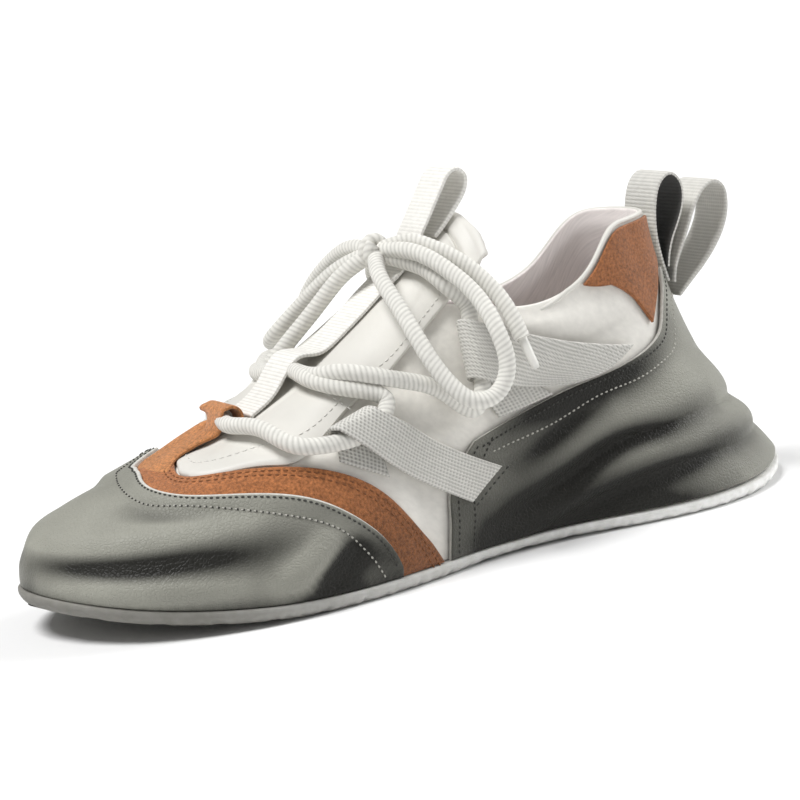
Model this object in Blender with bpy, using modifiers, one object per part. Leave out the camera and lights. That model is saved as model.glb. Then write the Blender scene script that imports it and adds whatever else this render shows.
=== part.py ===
"""Casual shoe for the left foot, standing on its sole.

The upper is one hollow wall between the sole's edge and the collar and throat edge. Every panel, strap
and the tongue is cut from that same wall function. Sizes are in millimetres, measured from the back of
the heel (x), the centre line (y, outer side positive) and the floor (z). Objects are in metres.
"""
import math

import bmesh
import bpy
import numpy as np

MM = 0.001
GAP = 0.4
PANEL_GAP = 0.6
HEEL_GAP = 0.85
KNOT_GAP = 1.0

# Sole
SOLE_LENGTH = 305.0
SOLE_EDGE = 7.5
SOLE_STEP = 3.2
TOE_SPRING = 12.0
TOE_SPRING_FROM = 0.66
HEEL_SPRING = 3.0
HEEL_SPRING_TO = 0.12
HEEL_ROUND = 32.0
TOE_ROUND = 36.0
TOE_TIP_OFFSET = -6.5
ARCH_RISE = 2.0
ARCH_MIDDLE = 0.42
ARCH_SPAN = 0.11
LUG_PITCH = 18.0
LUG_DEPTH = 1.6
# share of the length from the heel, centre line, half width
SOLE_ROWS = (
    (0.04, -0.2, 27.4),
    (0.12, 2.0, 41.8),
    (0.22, 3.0, 45.0),
    (0.35, 3.2, 39.0),
    (0.48, 4.2, 38.0),
    (0.60, 5.4, 45.2),
    (0.70, 3.2, 51.0),
    (0.78, 0.8, 52.4),
    (0.88, -1.6, 45.2),
    (0.95, -4.2, 32.3),
)

# Collar and throat edge
WALL = 2.0
COLLAR_BACK = 49.0
THROAT_FRONT = 230.0
COLLAR_ROUND = 20.0
THROAT_ROUND = 7.0
# share of the opening from its back, half width, height on the outer side, height on the inner side
TOP_ROWS = (
    (0.00, None, 107.0, 107.0),
    (0.05, 18.5, 107.5, 106.5),
    (0.10, 23.0, 107.0, 101.0),
    (0.15, 26.5, 105.0, 91.0),
    (0.20, 29.0, 96.0, 85.0),
    (0.28, 31.0, 87.0, 81.5),
    (0.37, 30.0, 84.5, 81.5),
    (0.46, 25.0, 87.0, 86.0),
    (0.56, 19.5, 90.0, 90.0),
    (0.70, 16.0, 81.5, 81.5),
    (0.85, 13.0, 66.0, 66.0),
    (0.95, 9.0, 57.5, 57.5),
    (1.00, None, 54.5, 54.5),
)
# degrees round from the heel, outward lean at the sole, its reach, drop at the top, its reach
PROFILE_ROWS = (
    (0, -46.7, 39.1, 86.4, 21.3),
    (30, -39.1, 38.1, 88.5, 20.1),
    (60, -12.0, 26.0, 80.0, 26.0),
    (85, 0.0, 26.0, 62.0, 24.0),
    (110, 8.0, 24.0, 30.0, 26.0),
    (135, 8.0, 24.0, 22.0, 30.0),
    (160, 4.0, 23.0, 20.0, 32.0),
    (180, 1.0, 24.0, 17.0, 34.0),
)

# Panels, each place given as degrees round from the heel and share of the way up the wall
LEATHER = 1.5
SUEDE = 1.3
# suede band: outer edge degrees and share, inner edge degrees and share
BAND_ROWS = (
    (104.3, 0.000, 96.4, 0.000),
    (107.0, 0.150, 101.0, 0.180),
    (113.0, 0.285, 108.0, 0.360),
    (121.0, 0.385, 121.0, 0.510),
    (132.0, 0.450, 137.0, 0.612),
    (145.0, 0.500, 151.0, 0.666),
    (158.0, 0.580, 162.0, 0.742),
    (170.0, 0.660, 171.0, 0.805),
    (180.0, 0.700, 180.0, 0.840),
)
# heel wrap: degrees round, share at its top edge
HEEL_TOP_ROWS = (
    (0, 0.66),
    (10, 0.69),
    (17, 0.735),
    (25, 0.69),
    (33, 0.623),
    (42.5, 0.552),
    (48.3, 0.55),
    (55.3, 0.582),
    (65, 0.606),
    (75.6, 0.568),
    (83, 0.485),
    (89.2, 0.416),
)
# heel wrap: share of its height, degrees round at its front edge
HEEL_FRONT_ROWS = ((0.0, 95.4), (0.35, 94.6), (0.63, 94.0), (1.0, 89.2))
# folds of the heel wrap: degrees round, share at the low valley, high valley, top of the last roll, height
FOLD_ROWS = (
    (0, 0.105, 0.225, 0.42, 2.6),
    (25, 0.108, 0.250, 0.43, 2.6),
    (43, 0.126, 0.277, 0.46, 2.6),
    (55, 0.136, 0.302, 0.49, 2.4),
    (64, 0.112, 0.312, 0.50, 2.0),
    (72, 0.055, 0.240, 0.45, 1.3),
    (82, 0.000, 0.120, 0.38, 0.3),
    (90, -0.060, 0.050, 0.30, 0.0),
    (100, -0.100, 0.000, 0.25, 0.0),
)
# heights of the rolls from the sole up, as shares of that height
ROLL_SIZES = (0.34, 1.0, 0.85)
# collar patch: degrees round, share at its lower edge
PATCH_ROWS = (
    (17, 0.765),
    (25, 0.715),
    (33, 0.648),
    (42.5, 0.578),
    (45.5, 0.69),
    (51, 0.83),
    (59, 0.965),
)

# Tongue
TONGUE = 2.0
TONGUE_PAD = 4.5
# degrees round, share of the way up at the tongue's hem
HEM_ROWS = ((93, 0.985), (99, 0.875), (105, 0.735), (114, 0.70), (120, 0.62), (127, 0.585), (139, 0.635),
            (151, 0.685), (158, 0.725), (166, 0.815))
TONGUE_TURNS = (166, 158, 150, 142, 134, 127, 120, 114, 108, 103, 98, 94)
# middle of the tongue's inner face: x, height
CREST_ROWS = ((123.5, 116.5), (132.5, 112.0), (140, 108.5), (147, 105.3), (154, 101.8), (162, 97.0),
              (171, 90.8), (180, 84.5), (189, 78.0), (197, 72.2), (206, 66.2), (214, 61.6), (224, 56.6))
# top of the tongue, clear of the quarters: edge x, edge y, edge z, crest x, crest z
TONGUE_ROWS = (
    (139.0, 21.5, 94.0, 137.5, 109.6),
    (133.5, 22.0, 97.5, 131.5, 112.4),
    (129.0, 21.5, 101.0, 126.5, 115.0),
    (127.5, 17.0, 106.0, 123.5, 116.4),
)

# Webbing and lace
STRAP = 1.2
LACE = 6.0
WEBBING = 1.6
STRIP_HALF = 8.5
HEEL_LOOP_HALF = 10.0
# how far a strap's loop holds the lace off the wall, and the loop's radius
LACE_LIFT = 6.2
LACE_LOOP = 4.6
# straps: degrees and share for the foot's two corners, the fold's two ends and the tip's two corners
STRAP_ROWS = {
    "front_strap": ((114.0, 0.480), (104.8, 0.365), (115.0, 0.553), (108.1, 0.582),
                    (91.2, 0.185), (85.6, 0.300)),
    "rear_strap": ((84.5, 0.500), (75.0, 0.580), (88.1, 0.640), (89.1, 0.880),
                   (71.0, 0.612), (53.0, 0.618)),
}
# how far each strap's tip is held off the wall
STRAP_TIP_LIFT = {"front_strap": 3.6, "rear_strap": 3.4}
# how far each strap's upper edge bows up between fold and tip, as a share of the wall
STRAP_BOW = {"front_strap": 0.0, "rear_strap": 0.07}
# lace through the suede loop and across the tongue, in the middle plane: x, z
THROAT_LACE = (226.3, 63.2)
CROSSING_X = 199.0
# pull tab above the tongue, in the middle plane: x, z
TAB_ROUTE = ((148.4, 105.4), (145.0, 111.4), (141.0, 118.0), (136.6, 124.6), (132.8, 130.2), (129.6, 134.0),
             (126.0, 134.9), (123.2, 132.2), (123.8, 127.6), (127.6, 122.4), (131.6, 118.2))
# heel loops in the middle plane: x, z
INNER_LOOP_ROUTE = ((42.9, 84.5), (44.3, 91.0), (45.2, 98.0), (45.0, 105.0), (43.5, 112.6), (40.6, 117.6),
                    (36.6, 119.4), (33.0, 116.6), (31.8, 111.5), (32.9, 106.0), (35.6, 100.2), (38.6, 94.6),
                    (40.6, 88.4))
OUTER_LOOP_ROUTE = ((39.0, 78.6), (38.2, 83.0), (36.2, 88.0), (33.2, 93.6), (29.8, 100.2), (25.6, 107.8),
                    (21.2, 112.2), (16.8, 113.5), (13.4, 111.2), (12.2, 106.0), (13.0, 100.4), (15.6, 94.6),
                    (20.0, 88.6), (25.6, 83.0), (31.4, 78.2), (37.3, 73.3))
# knot: middle and half sizes
KNOT = (158.5, 0.0, 110.0)
KNOT_HALF = (8.5, 9.5, 6.5)
# bow of the lace, out of the knot and back to it, and its free ends: x, y, z
OUTER_BOW = ((165.5, 14, 104), (167, 25, 97), (167, 40, 83), (162, 51, 67), (156.5, 55, 61.5),
             (149, 56, 61.5), (142.5, 56, 69.5), (142.5, 53, 83), (143, 43, 95.5), (147, 30, 107),
             (152.5, 17.5, 115.5))
INNER_BOW = ((166, -12.5, 104.5), (176, -26, 96), (184.5, -34, 87.5), (189, -39.5, 80.5), (187, -46.5, 77.5),
             (181.5, -48.5, 79.5), (174, -44, 90), (166.5, -34, 101), (161, -23, 112.5), (160, -13, 118))
OUTER_END = ((149.5, 5.5, 117), (146, 13, 116.5), (139.5, 21.5, 110.5), (133, 31, 99.5),
             (129.8, 39.5, 88), (128.2, 44.2, 77))
INNER_END = ((172, -4, 110), (181, -13, 104), (189, -19, 95), (197, -21.5, 85.5), (205, -22.5, 77.5))
TIP_LENGTH = 11.5
TIP_RADIUS = 2.4


def spline(knots, values, x, level_ends=True):
    """Smooth cubic through the rows, level at both ends or with free ends."""
    knots = np.asarray(knots, float)
    values = np.asarray(values, float)
    gap = np.diff(knots)
    rise = np.diff(values) / gap
    count = len(knots)
    system = np.eye(count)
    right = np.zeros(count)
    for i in range(1, count - 1):
        system[i, i - 1 : i + 2] = 1 / gap[i - 1], 2 * (1 / gap[i - 1] + 1 / gap[i]), 1 / gap[i]
        right[i] = 3 * (rise[i - 1] / gap[i - 1] + rise[i] / gap[i])
    if not level_ends:
        system[0, :2] = 2, 1
        system[-1, -2:] = 1, 2
        right[0] = 3 * rise[0]
        right[-1] = 3 * rise[-1]
    slope = np.linalg.solve(system, right)
    x = np.asarray(x, float)
    i = np.clip(np.searchsorted(knots, x) - 1, 0, count - 2)
    t = (x - knots[i]) / gap[i]
    start = values[i] * (1 + 2 * t) * (1 - t) ** 2 + slope[i] * gap[i] * t * (1 - t) ** 2
    end = values[i + 1] * t * t * (3 - 2 * t) - slope[i + 1] * gap[i] * t * t * (1 - t)
    return start + end


def column(rows, index):
    return [row[index] for row in rows]


def lookup(rows, index, x):
    """Smooth value of one column of a table at x, held level outside its rows."""
    knots = column(rows, 0)
    return spline(knots, column(rows, index), np.clip(x, knots[0], knots[-1]), False)


def fullness(rows, width, length, back_round, front_round):
    """Half widths as multiples of a round-ended outline, with the end radii given."""
    shares = [row[0] for row in rows if row[width] is not None]
    halves = [row[width] for row in rows if row[width] is not None]
    values = [half / (2 * math.sqrt(share * (1 - share))) for share, half in zip(shares, halves)]
    back = math.sqrt(back_round * length / 2)
    front = math.sqrt(front_round * length / 2)
    return [0.0, *shares, 1.0], [back, *values, front]


SOLE_FULLNESS = fullness(SOLE_ROWS, 2, SOLE_LENGTH, HEEL_ROUND, TOE_ROUND)
SOLE_CENTRE = ([0.0, *column(SOLE_ROWS, 0), 1.0], [0.0, *column(SOLE_ROWS, 1), TOE_TIP_OFFSET])
TOP_FULLNESS = fullness(TOP_ROWS, 1, THROAT_FRONT - COLLAR_BACK, COLLAR_ROUND, THROAT_ROUND)


def floor_rise(x):
    """Height of the sole's underside above the floor from toe spring and heel bevel."""
    toe = np.clip((x / SOLE_LENGTH - TOE_SPRING_FROM) / (1 - TOE_SPRING_FROM), 0, 1)
    heel = np.clip(1 - x / SOLE_LENGTH / HEEL_SPRING_TO, 0, 1)
    return TOE_SPRING * toe**2 + HEEL_SPRING * heel**2


def sole_outline(turn, inset=0.0):
    """Plan of the sole's edge; turn runs from the heel round the outer side to the toe."""
    turn = np.asarray(turn, float)
    share = (1 - np.cos(turn)) / 2
    y = spline(*SOLE_CENTRE, share, False) + np.sin(turn) * spline(*SOLE_FULLNESS, share)
    plan = np.stack([share * SOLE_LENGTH, y], -1)
    if inset:
        along = sole_outline(turn + 0.001) - sole_outline(turn - 0.001)
        along /= np.linalg.norm(along, axis=-1, keepdims=True)
        plan = plan + inset * np.stack([along[..., 1], -along[..., 0]], -1)
    return plan


def wall_foot(turn):
    """Lower edge of the upper, just above the sole."""
    plan = sole_outline(turn, SOLE_STEP)
    height = floor_rise(plan[..., 0]) + SOLE_EDGE + GAP
    return np.concatenate([plan, height[..., None]], -1)


def wall_top(turn):
    """Collar and throat edge."""
    share = (1 - np.cos(turn)) / 2
    x = COLLAR_BACK + share * (THROAT_FRONT - COLLAR_BACK)
    y = np.sin(turn) * spline(*TOP_FULLNESS, share)
    shares = column(TOP_ROWS, 0)
    outer = spline(shares, column(TOP_ROWS, 2), share)
    inner = spline(shares, column(TOP_ROWS, 3), share)
    return np.stack([x, y, np.where(np.sin(turn) >= 0, outer, inner)], -1)


def wall(turn, up):
    """Outer face of the upper: a curve in an upright plane from its foot to its top edge."""
    turn, up = np.broadcast_arrays(np.asarray(turn, float), np.asarray(up, float))
    foot, top = wall_foot(turn), wall_top(turn)
    out = foot - top
    out[..., 2] = 0
    out /= np.linalg.norm(out, axis=-1, keepdims=True)
    rise = np.array([0.0, 0.0, 1.0])
    degrees = np.degrees(np.arccos(np.cos(turn)))
    lean, reach, drop, pull = (spline(column(PROFILE_ROWS, 0), column(PROFILE_ROWS, k), degrees)[..., None]
                               for k in range(1, 5))
    lean, drop = np.radians(lean), np.radians(drop)
    low = foot + reach * (np.sin(lean) * out + np.cos(lean) * rise)
    high = top + pull * (np.cos(drop) * out - np.sin(drop) * rise)
    v = up[..., None]
    return foot * (1 - v) ** 3 + 3 * low * v * (1 - v) ** 2 + 3 * high * v * v * (1 - v) + top * v**3


def wall_at(turn, up, lift=0.0):
    """Point of the upper's outer face, lifted outward."""
    step = 0.002
    round_way = wall(turn + step, up) - wall(turn - step, up)
    up_way = wall(turn, up + step) - wall(turn, up - step)
    normal = np.cross(up_way, round_way)
    normal /= np.linalg.norm(normal, axis=-1, keepdims=True)
    return wall(turn, up) + np.asarray(lift)[..., None] * normal


def heel_folds(turn, up):
    """Height of the three sagging rolls round the heel."""
    degrees = np.degrees(np.arccos(np.cos(turn)))
    low, high, top, height = (lookup(FOLD_ROWS, k, degrees) for k in range(1, 5))
    edges = (np.full_like(low, -0.06), low, high, top)
    total = np.zeros_like(low)
    for start, end, size in zip(edges[:-1], edges[1:], ROLL_SIZES):
        share = np.clip((up - start) / np.maximum(end - start, 0.01), 0, 1)
        total += size * np.sin(math.pi * share**0.62) ** 1.2
    return height * total


def clear_scene():
    for item in list(bpy.data.objects):
        bpy.data.objects.remove(item, do_unlink=True)


def material(name, colour, roughness):
    made = bpy.data.materials.new(name)
    made.use_nodes = True
    shader = made.node_tree.nodes["Principled BSDF"]
    shader.inputs["Base Color"].default_value = (*colour, 1)
    shader.inputs["Roughness"].default_value = roughness
    shader.inputs["Metallic"].default_value = 0.0
    return made


class Shoe:
    """Collection, frame and finishes that every piece is put in."""

    def __init__(self):
        self.parts = bpy.data.collections.new("casual_shoe")
        bpy.context.scene.collection.children.link(self.parts)
        self.cutters = bpy.data.collections.new("cutters")
        bpy.context.scene.collection.children.link(self.cutters)
        side = sole_outline(np.linspace(0, 2 * math.pi, 721))[:, 1]
        self.frame = bpy.data.objects.new("shoe_frame", None)
        self.frame.location = (-SOLE_LENGTH / 2 * MM, -(side.max() + side.min()) / 2 * MM, 0)
        self.parts.objects.link(self.frame)
        self.finish = {
            "grey_leather": material("grey_leather", (0.20, 0.20, 0.17), 0.42),
            "rust_suede": material("rust_suede", (0.36, 0.12, 0.035), 0.9),
            "white_nylon": material("white_nylon", (0.72, 0.71, 0.68), 0.5),
            "white_leather": material("white_leather", (0.74, 0.73, 0.69), 0.45),
            "white_webbing": material("white_webbing", (0.66, 0.65, 0.60), 0.8),
            "lace_cord": material("lace_cord", (0.72, 0.71, 0.66), 0.75),
            "grey_rubber": material("grey_rubber", (0.50, 0.50, 0.48), 0.6),
            "lining": material("lining", (0.52, 0.48, 0.47), 0.9),
        }

    def add(self, name, data, finish):
        item = bpy.data.objects.new(name, data)
        data.materials.append(self.finish[finish])
        item.parent = self.frame
        self.parts.objects.link(item)
        return item


def mesh_from(bm, name):
    mesh = bpy.data.meshes.new(name)
    bm.to_mesh(mesh)
    bm.free()
    mesh.shade_smooth()
    mesh.set_sharp_from_angle(angle=math.radians(40))
    return mesh


def add_grid(bm, points):
    """Grid primitive with its vertices moved to an array of rows and columns of points."""
    rows, columns = points.shape[:2]
    made = bmesh.ops.create_grid(bm, x_segments=columns - 1, y_segments=rows - 1, size=1.0)["verts"]
    order = sorted(made, key=lambda vert: (round(vert.co.y, 5), round(vert.co.x, 5)))
    for vert, place in zip(order, points.reshape(-1, 3)):
        vert.co = place * MM
    return order


def sheet(name, points):
    """Open surface through an array of points, with the seam of a closed ring welded."""
    bm = bmesh.new()
    add_grid(bm, points)
    bmesh.ops.remove_doubles(bm, verts=bm.verts, dist=1e-6)
    return mesh_from(bm, name)


def solid_between(name, inner, outer, ring=False):
    """Closed solid between two surfaces of like arrays of points; a ring's ends are welded."""
    bm = bmesh.new()
    first = add_grid(bm, inner)
    second = add_grid(bm, outer)
    rows, columns = inner.shape[:2]
    low = list(range(columns))
    high = [(rows - 1) * columns + j for j in low]
    runs = [low, high]
    if not ring:
        runs += [[i * columns + j for i in range(rows)] for j in (0, columns - 1)]
    for run in runs:
        for here, ahead in zip(run[:-1], run[1:]):
            bm.faces.new((first[here], first[ahead], second[ahead], second[here]))
    bmesh.ops.remove_doubles(bm, verts=bm.verts, dist=1e-6)
    bmesh.ops.recalc_face_normals(bm, faces=bm.faces)
    return mesh_from(bm, name)


def loft(name, sections):
    """Closed solid through ring sections; end rings that shrink to a line are welded."""
    bm = bmesh.new()
    size = sections.shape[1]
    verts = [[bm.verts.new(place * MM) for place in ring] for ring in sections]
    for low, high in zip(verts[:-1], verts[1:]):
        for j in range(size):
            k = (j + 1) % size
            bm.faces.new((low[j], low[k], high[k], high[j]))
    bmesh.ops.remove_doubles(bm, verts=bm.verts, dist=2e-6)
    bmesh.ops.dissolve_degenerate(bm, edges=bm.edges, dist=1e-6)
    bmesh.ops.recalc_face_normals(bm, faces=bm.faces)
    return mesh_from(bm, name)


def thicken(item, thickness, offset):
    wall_modifier = item.modifiers.new("Thickness", "SOLIDIFY")
    wall_modifier.thickness = thickness * MM
    wall_modifier.offset = offset


def build_outsole(shoe):
    """Sole with a rounded edge, toe spring, arch and cross lugs."""
    starts = np.arange(9.0, SOLE_LENGTH - 8, LUG_PITCH)
    lug = [(start + LUG_PITCH * share, depth) for start in starts
           for share, depth in ((0.0, 0.0), (0.66, 0.0), (0.74, 1.0), (0.92, 1.0))]
    ends = [(0.0, 0.0), (1.0, 0.0), (4.0, 0.0)]
    ends += [(SOLE_LENGTH - back, 0.0) for back in (4.0, 1.0, 0.0)]
    stations = sorted([row for row in lug if row[0] < SOLE_LENGTH - 6] + ends)
    x = np.array([row[0] for row in stations])
    groove = np.array([row[1] for row in stations]) * LUG_DEPTH
    turn = np.arccos(1 - 2 * x / SOLE_LENGTH)
    arch = ARCH_RISE * np.exp(-((x / SOLE_LENGTH - ARCH_MIDDLE) / ARCH_SPAN) ** 4)
    rings = []
    for side in (1, -1):
        edge = sole_outline(side * turn, 1.2)
        belly = sole_outline(side * turn, 0.0)
        shoulder = sole_outline(side * turn, 0.9)
        middle = sole_outline(turn) * 0.5 + sole_outline(-turn) * 0.5
        under = groove + arch * (0.5 if side > 0 else 1.5)
        inner_low = middle * 0.55 + edge * 0.45
        inner_top = middle * 0.5 + shoulder * 0.5
        half = ((inner_low, under), (edge, under), (belly, SOLE_EDGE - 4.2 + 0.3 * groove),
                (shoulder, SOLE_EDGE), (inner_top, SOLE_EDGE))
        rings.append([np.column_stack([plan, floor_rise(plan[:, 0]) + rise]) for plan, rise in half])
    loop = rings[0] + rings[1][::-1]
    shoe.add("outsole", loft("outsole", np.stack(loop, 1)), "grey_rubber")


def build_insole(shoe):
    """Footbed that fills the flared heel up to the foot's seat."""
    turn = np.radians(np.linspace(0, 180, 21))
    seat = spline((0, 45, 90, 135, 180), (0.18, 0.17, 0.12, 0.075, 0.06), np.degrees(turn))
    lift = np.full_like(turn, -WALL - 0.6)
    ring = []
    for side in (1, -1):
        half = [wall_at(side * turn, share * seat, lift) for share in (0.0, 0.5, 1.0)]
        half[0][:, 2] = floor_rise(half[0][:, 0]) + SOLE_EDGE + GAP
        middle = wall_at(turn, seat, lift) * 0.5 + wall_at(-turn, seat, lift) * 0.5
        inner = middle * 0.5 + half[2] * 0.5
        inner[:, 2] -= 1.5 * np.sin(turn)
        ring.append(half + [inner])
    shoe.add("insole", loft("insole", np.stack(ring[0] + ring[1][::-1], 1)), "lining")


def build_upper(shoe):
    """Hollow wall, open at collar, throat and underneath."""
    turn = np.radians(np.linspace(360, 0, 63))
    up = np.linspace(0, 1, 12) ** 1.12
    turn, up = np.broadcast_arrays(turn[None, :], up[:, None])
    outer = wall_at(turn, up)
    inner = wall_at(turn, up, np.full(turn.shape, -WALL))
    inner[0, :, 2] = outer[0, :, 2]
    shoe.add("upper", solid_between("upper", inner, outer, ring=True), "white_nylon")


def band_edges(count):
    """Outer and inner edge of the suede band, each as degrees and share, outer side to inner side."""
    place = np.linspace(0, len(BAND_ROWS) - 1, count)
    edges = []
    for k in range(4):
        line = spline(range(-1, len(BAND_ROWS) + 1), band_column(k), place, False)
        far_side = 360 - line if k in (0, 2) else line
        edges.append(np.concatenate([line, far_side[-2::-1]]))
    return edges


def band_column(index):
    """One column of the suede band's table, run on past both ends so that the sides meet smoothly."""
    values = column(BAND_ROWS, index)
    past = 360 - values[-2] if index in (0, 2) else values[-2]
    return [2 * values[0] - values[1], *values, past]


def build_toe_wrap(shoe):
    """Grey leather round the toe, from the sole up to the suede band."""
    turn, share, _, _ = band_edges(17)
    turn = np.radians(turn)
    rows = np.linspace(0, 1, 7)[:, None]
    inset = 0.012
    start = inset + (1 - 2 * inset) * np.linspace(0, 1, len(turn))
    turn = np.interp(start, np.linspace(0, 1, len(turn)), turn)
    share = np.interp(start, np.linspace(0, 1, len(share)), share)
    up = rows * (share[None, :] - 0.006)
    grid = wall_at(turn[None, ::-1], up[:, ::-1], np.full(up.shape, PANEL_GAP))
    item = shoe.add("toe_wrap", sheet("toe_wrap", grid), "grey_leather")
    thicken(item, LEATHER, 1)


def build_suede_band(shoe):
    """Suede round the front of the throat, down to the sole on both sides."""
    turn, share, inner_turn, inner_share = band_edges(19)
    across = np.linspace(0, 1, 3)[:, None]
    all_turn = np.radians(turn * (1 - across) + inner_turn * across)
    up = share * (1 - across) + inner_share * across
    grid = wall_at(all_turn[:, ::-1], up[:, ::-1], np.full(up.shape, PANEL_GAP))
    item = shoe.add("suede_band", sheet("suede_band", grid), "rust_suede")
    thicken(item, SUEDE, 1)


def heel_wrap_grid(columns, rows, lift):
    """Array of points of the heel wrap; lift is a function of turn and share."""
    v = np.linspace(0, 1, rows)[:, None]
    u = np.linspace(-1, 1, columns)[None, :]
    turn = np.radians(u * lookup(HEEL_FRONT_ROWS, 1, v))
    top = lookup(HEEL_TOP_ROWS, 1, np.abs(u) * HEEL_FRONT_ROWS[-1][1])
    up = v * top
    return wall_at(turn, up, lift(turn, up))


def build_heel_wrap(shoe):
    """Grey leather round the heel with three sagging rolls."""
    columns, rows = 27, 13
    inner = heel_wrap_grid(columns, rows, lambda turn, up: np.full(np.broadcast(turn, up).shape, HEEL_GAP))
    outer = heel_wrap_grid(columns, rows, lambda turn, up: HEEL_GAP + LEATHER + heel_folds(turn, up))
    shoe.add("heel_wrap", solid_between("heel_wrap", inner, outer), "grey_leather")


def build_collar_patches(shoe):
    """Suede patch on each side of the heel, below the collar edge."""
    rows = np.array(PATCH_ROWS)
    turns = np.sort(np.concatenate([rows[:, 0], (rows[1:, 0] + rows[:-1, 0]) / 2]))
    low = np.interp(turns, rows[:, 0], rows[:, 1])[None, :] + 0.012
    turn = np.radians(turns)[None, :]
    v = np.linspace(0, 1, 3)[:, None]
    up = low * (1 - v) + 0.985 * v
    for name, side in (("collar_patch_outer", 1), ("collar_patch_inner", -1)):
        grid = wall_at(side * turn, up, np.full(up.shape, PANEL_GAP))
        grid = grid[:, ::-1] if side > 0 else grid
        item = shoe.add(name, sheet(name, grid), "rust_suede")
        thicken(item, SUEDE, 1)


def tongue_faces():
    """Inner and outer face of the tongue, from the front row to its top."""
    side = np.linspace(0.5, 1, 4)
    across = np.concatenate([-side[::-1], np.linspace(-0.5, 0.5, 7)[1:-1], side])
    rows = []
    for degrees in TONGUE_TURNS:
        turn = math.radians(degrees)
        hem = float(lookup(HEM_ROWS, 1, degrees))
        flap = np.linspace(hem, 1.0, 4)
        lift = np.full(4, PANEL_GAP)
        outer_side = wall_at(np.full(4, turn), flap, lift)
        inner_side = wall_at(np.full(4, -turn), flap, lift)
        way_out = outer_side[-1] - outer_side[-2]
        way_in = inner_side[-1] - inner_side[-2]
        way_out /= np.linalg.norm(way_out)
        way_in /= np.linalg.norm(way_in)
        a, d = outer_side[-1], inner_side[-1]
        climb = lookup(CREST_ROWS, 1, a[0]) - (a[2] + d[2]) / 2
        reach = max(2.0, climb * 8 / 3 / (way_out[2] + way_in[2]))
        b = a + reach * way_out
        c = d + reach * way_in
        t = np.linspace(0, 1, 7)[1:-1, None]
        arch = a * (1 - t) ** 3 + 3 * b * t * (1 - t) ** 2 + 3 * c * t * t * (1 - t) + d * t**3
        rows.append(np.concatenate([outer_side, arch, inner_side[::-1]]))
    for edge_x, edge_y, edge_z, crest_x, crest_z in TONGUE_ROWS:
        x = crest_x + (edge_x - crest_x) * across**2
        z = crest_z - (crest_z - edge_z) * np.abs(across) ** 2.2
        rows.append(np.stack([x, -edge_y * across, z], -1))
    inner = np.stack(rows)
    normal = np.cross(np.gradient(inner, axis=1), np.gradient(inner, axis=0))
    normal /= np.linalg.norm(normal, axis=-1, keepdims=True)
    if normal[0, len(across) // 2, 2] < 0:
        normal = -normal
    count = len(rows)
    pad = np.interp(np.arange(count), (0, len(TONGUE_TURNS), count - 2, count - 1), (0, 0, 1, 0.3))
    thickness = TONGUE + (TONGUE_PAD - TONGUE) * pad
    return inner, inner + normal * thickness[:, None, None]


def build_tongue(shoe):
    """White leather tongue that lies over the throat's edges and stands up padded behind the lace."""
    inner, outer = tongue_faces()
    shoe.add("tongue", solid_between("tongue", inner, outer), "white_leather")


def smooth_route(points, step):
    """Points about a step apart along a smooth curve through the route's own points."""
    points = np.asarray(points, float)
    along = np.concatenate([[0], np.cumsum(np.linalg.norm(np.diff(points, axis=0), axis=1))])
    fine = np.linspace(0, along[-1], max(2, int(round(along[-1] / step))) + 1)
    return np.stack([spline(along, points[:, k], fine, False) for k in range(points.shape[1])], -1)


def add_ribbon(shoe, name, route, thickness, half_width, finish, step=4.6):
    """Band of webbing or suede whose side view follows a route in the middle plane."""
    line = smooth_route(route, step)
    way = np.gradient(line, axis=0)
    way /= np.linalg.norm(way, axis=1, keepdims=True)
    across = np.stack([-way[:, 1], way[:, 0]], -1) * thickness / 2
    outline = np.concatenate([line + across, (line - across)[::-1]])
    curve = bpy.data.curves.new(name, "CURVE")
    curve.dimensions = "2D"
    curve.fill_mode = "BOTH"
    curve.extrude = half_width * MM
    side = curve.splines.new("POLY")
    side.points.add(len(outline) - 1)
    for point, (x, z) in zip(side.points, outline):
        point.co = (x * MM, z * MM, 0, 1)
    side.use_cyclic_u = True
    item = shoe.add(name, curve, finish)
    item.rotation_euler = (math.pi / 2, 0, 0)
    return item


def add_cord(shoe, name, route, radius, finish, step=8.6):
    """Round cord along a smooth route, whose points are given back."""
    curve = bpy.data.curves.new(name, "CURVE")
    curve.dimensions = "3D"
    curve.bevel_depth = radius * MM
    curve.bevel_resolution = 2
    curve.use_fill_caps = True
    line = curve.splines.new("POLY")
    places = smooth_route(route, step)
    line.points.add(len(places) - 1)
    for point, place in zip(line.points, places):
        point.co = (*(place * MM), 1)
    shoe.add(name, curve, finish)
    return places


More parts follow.
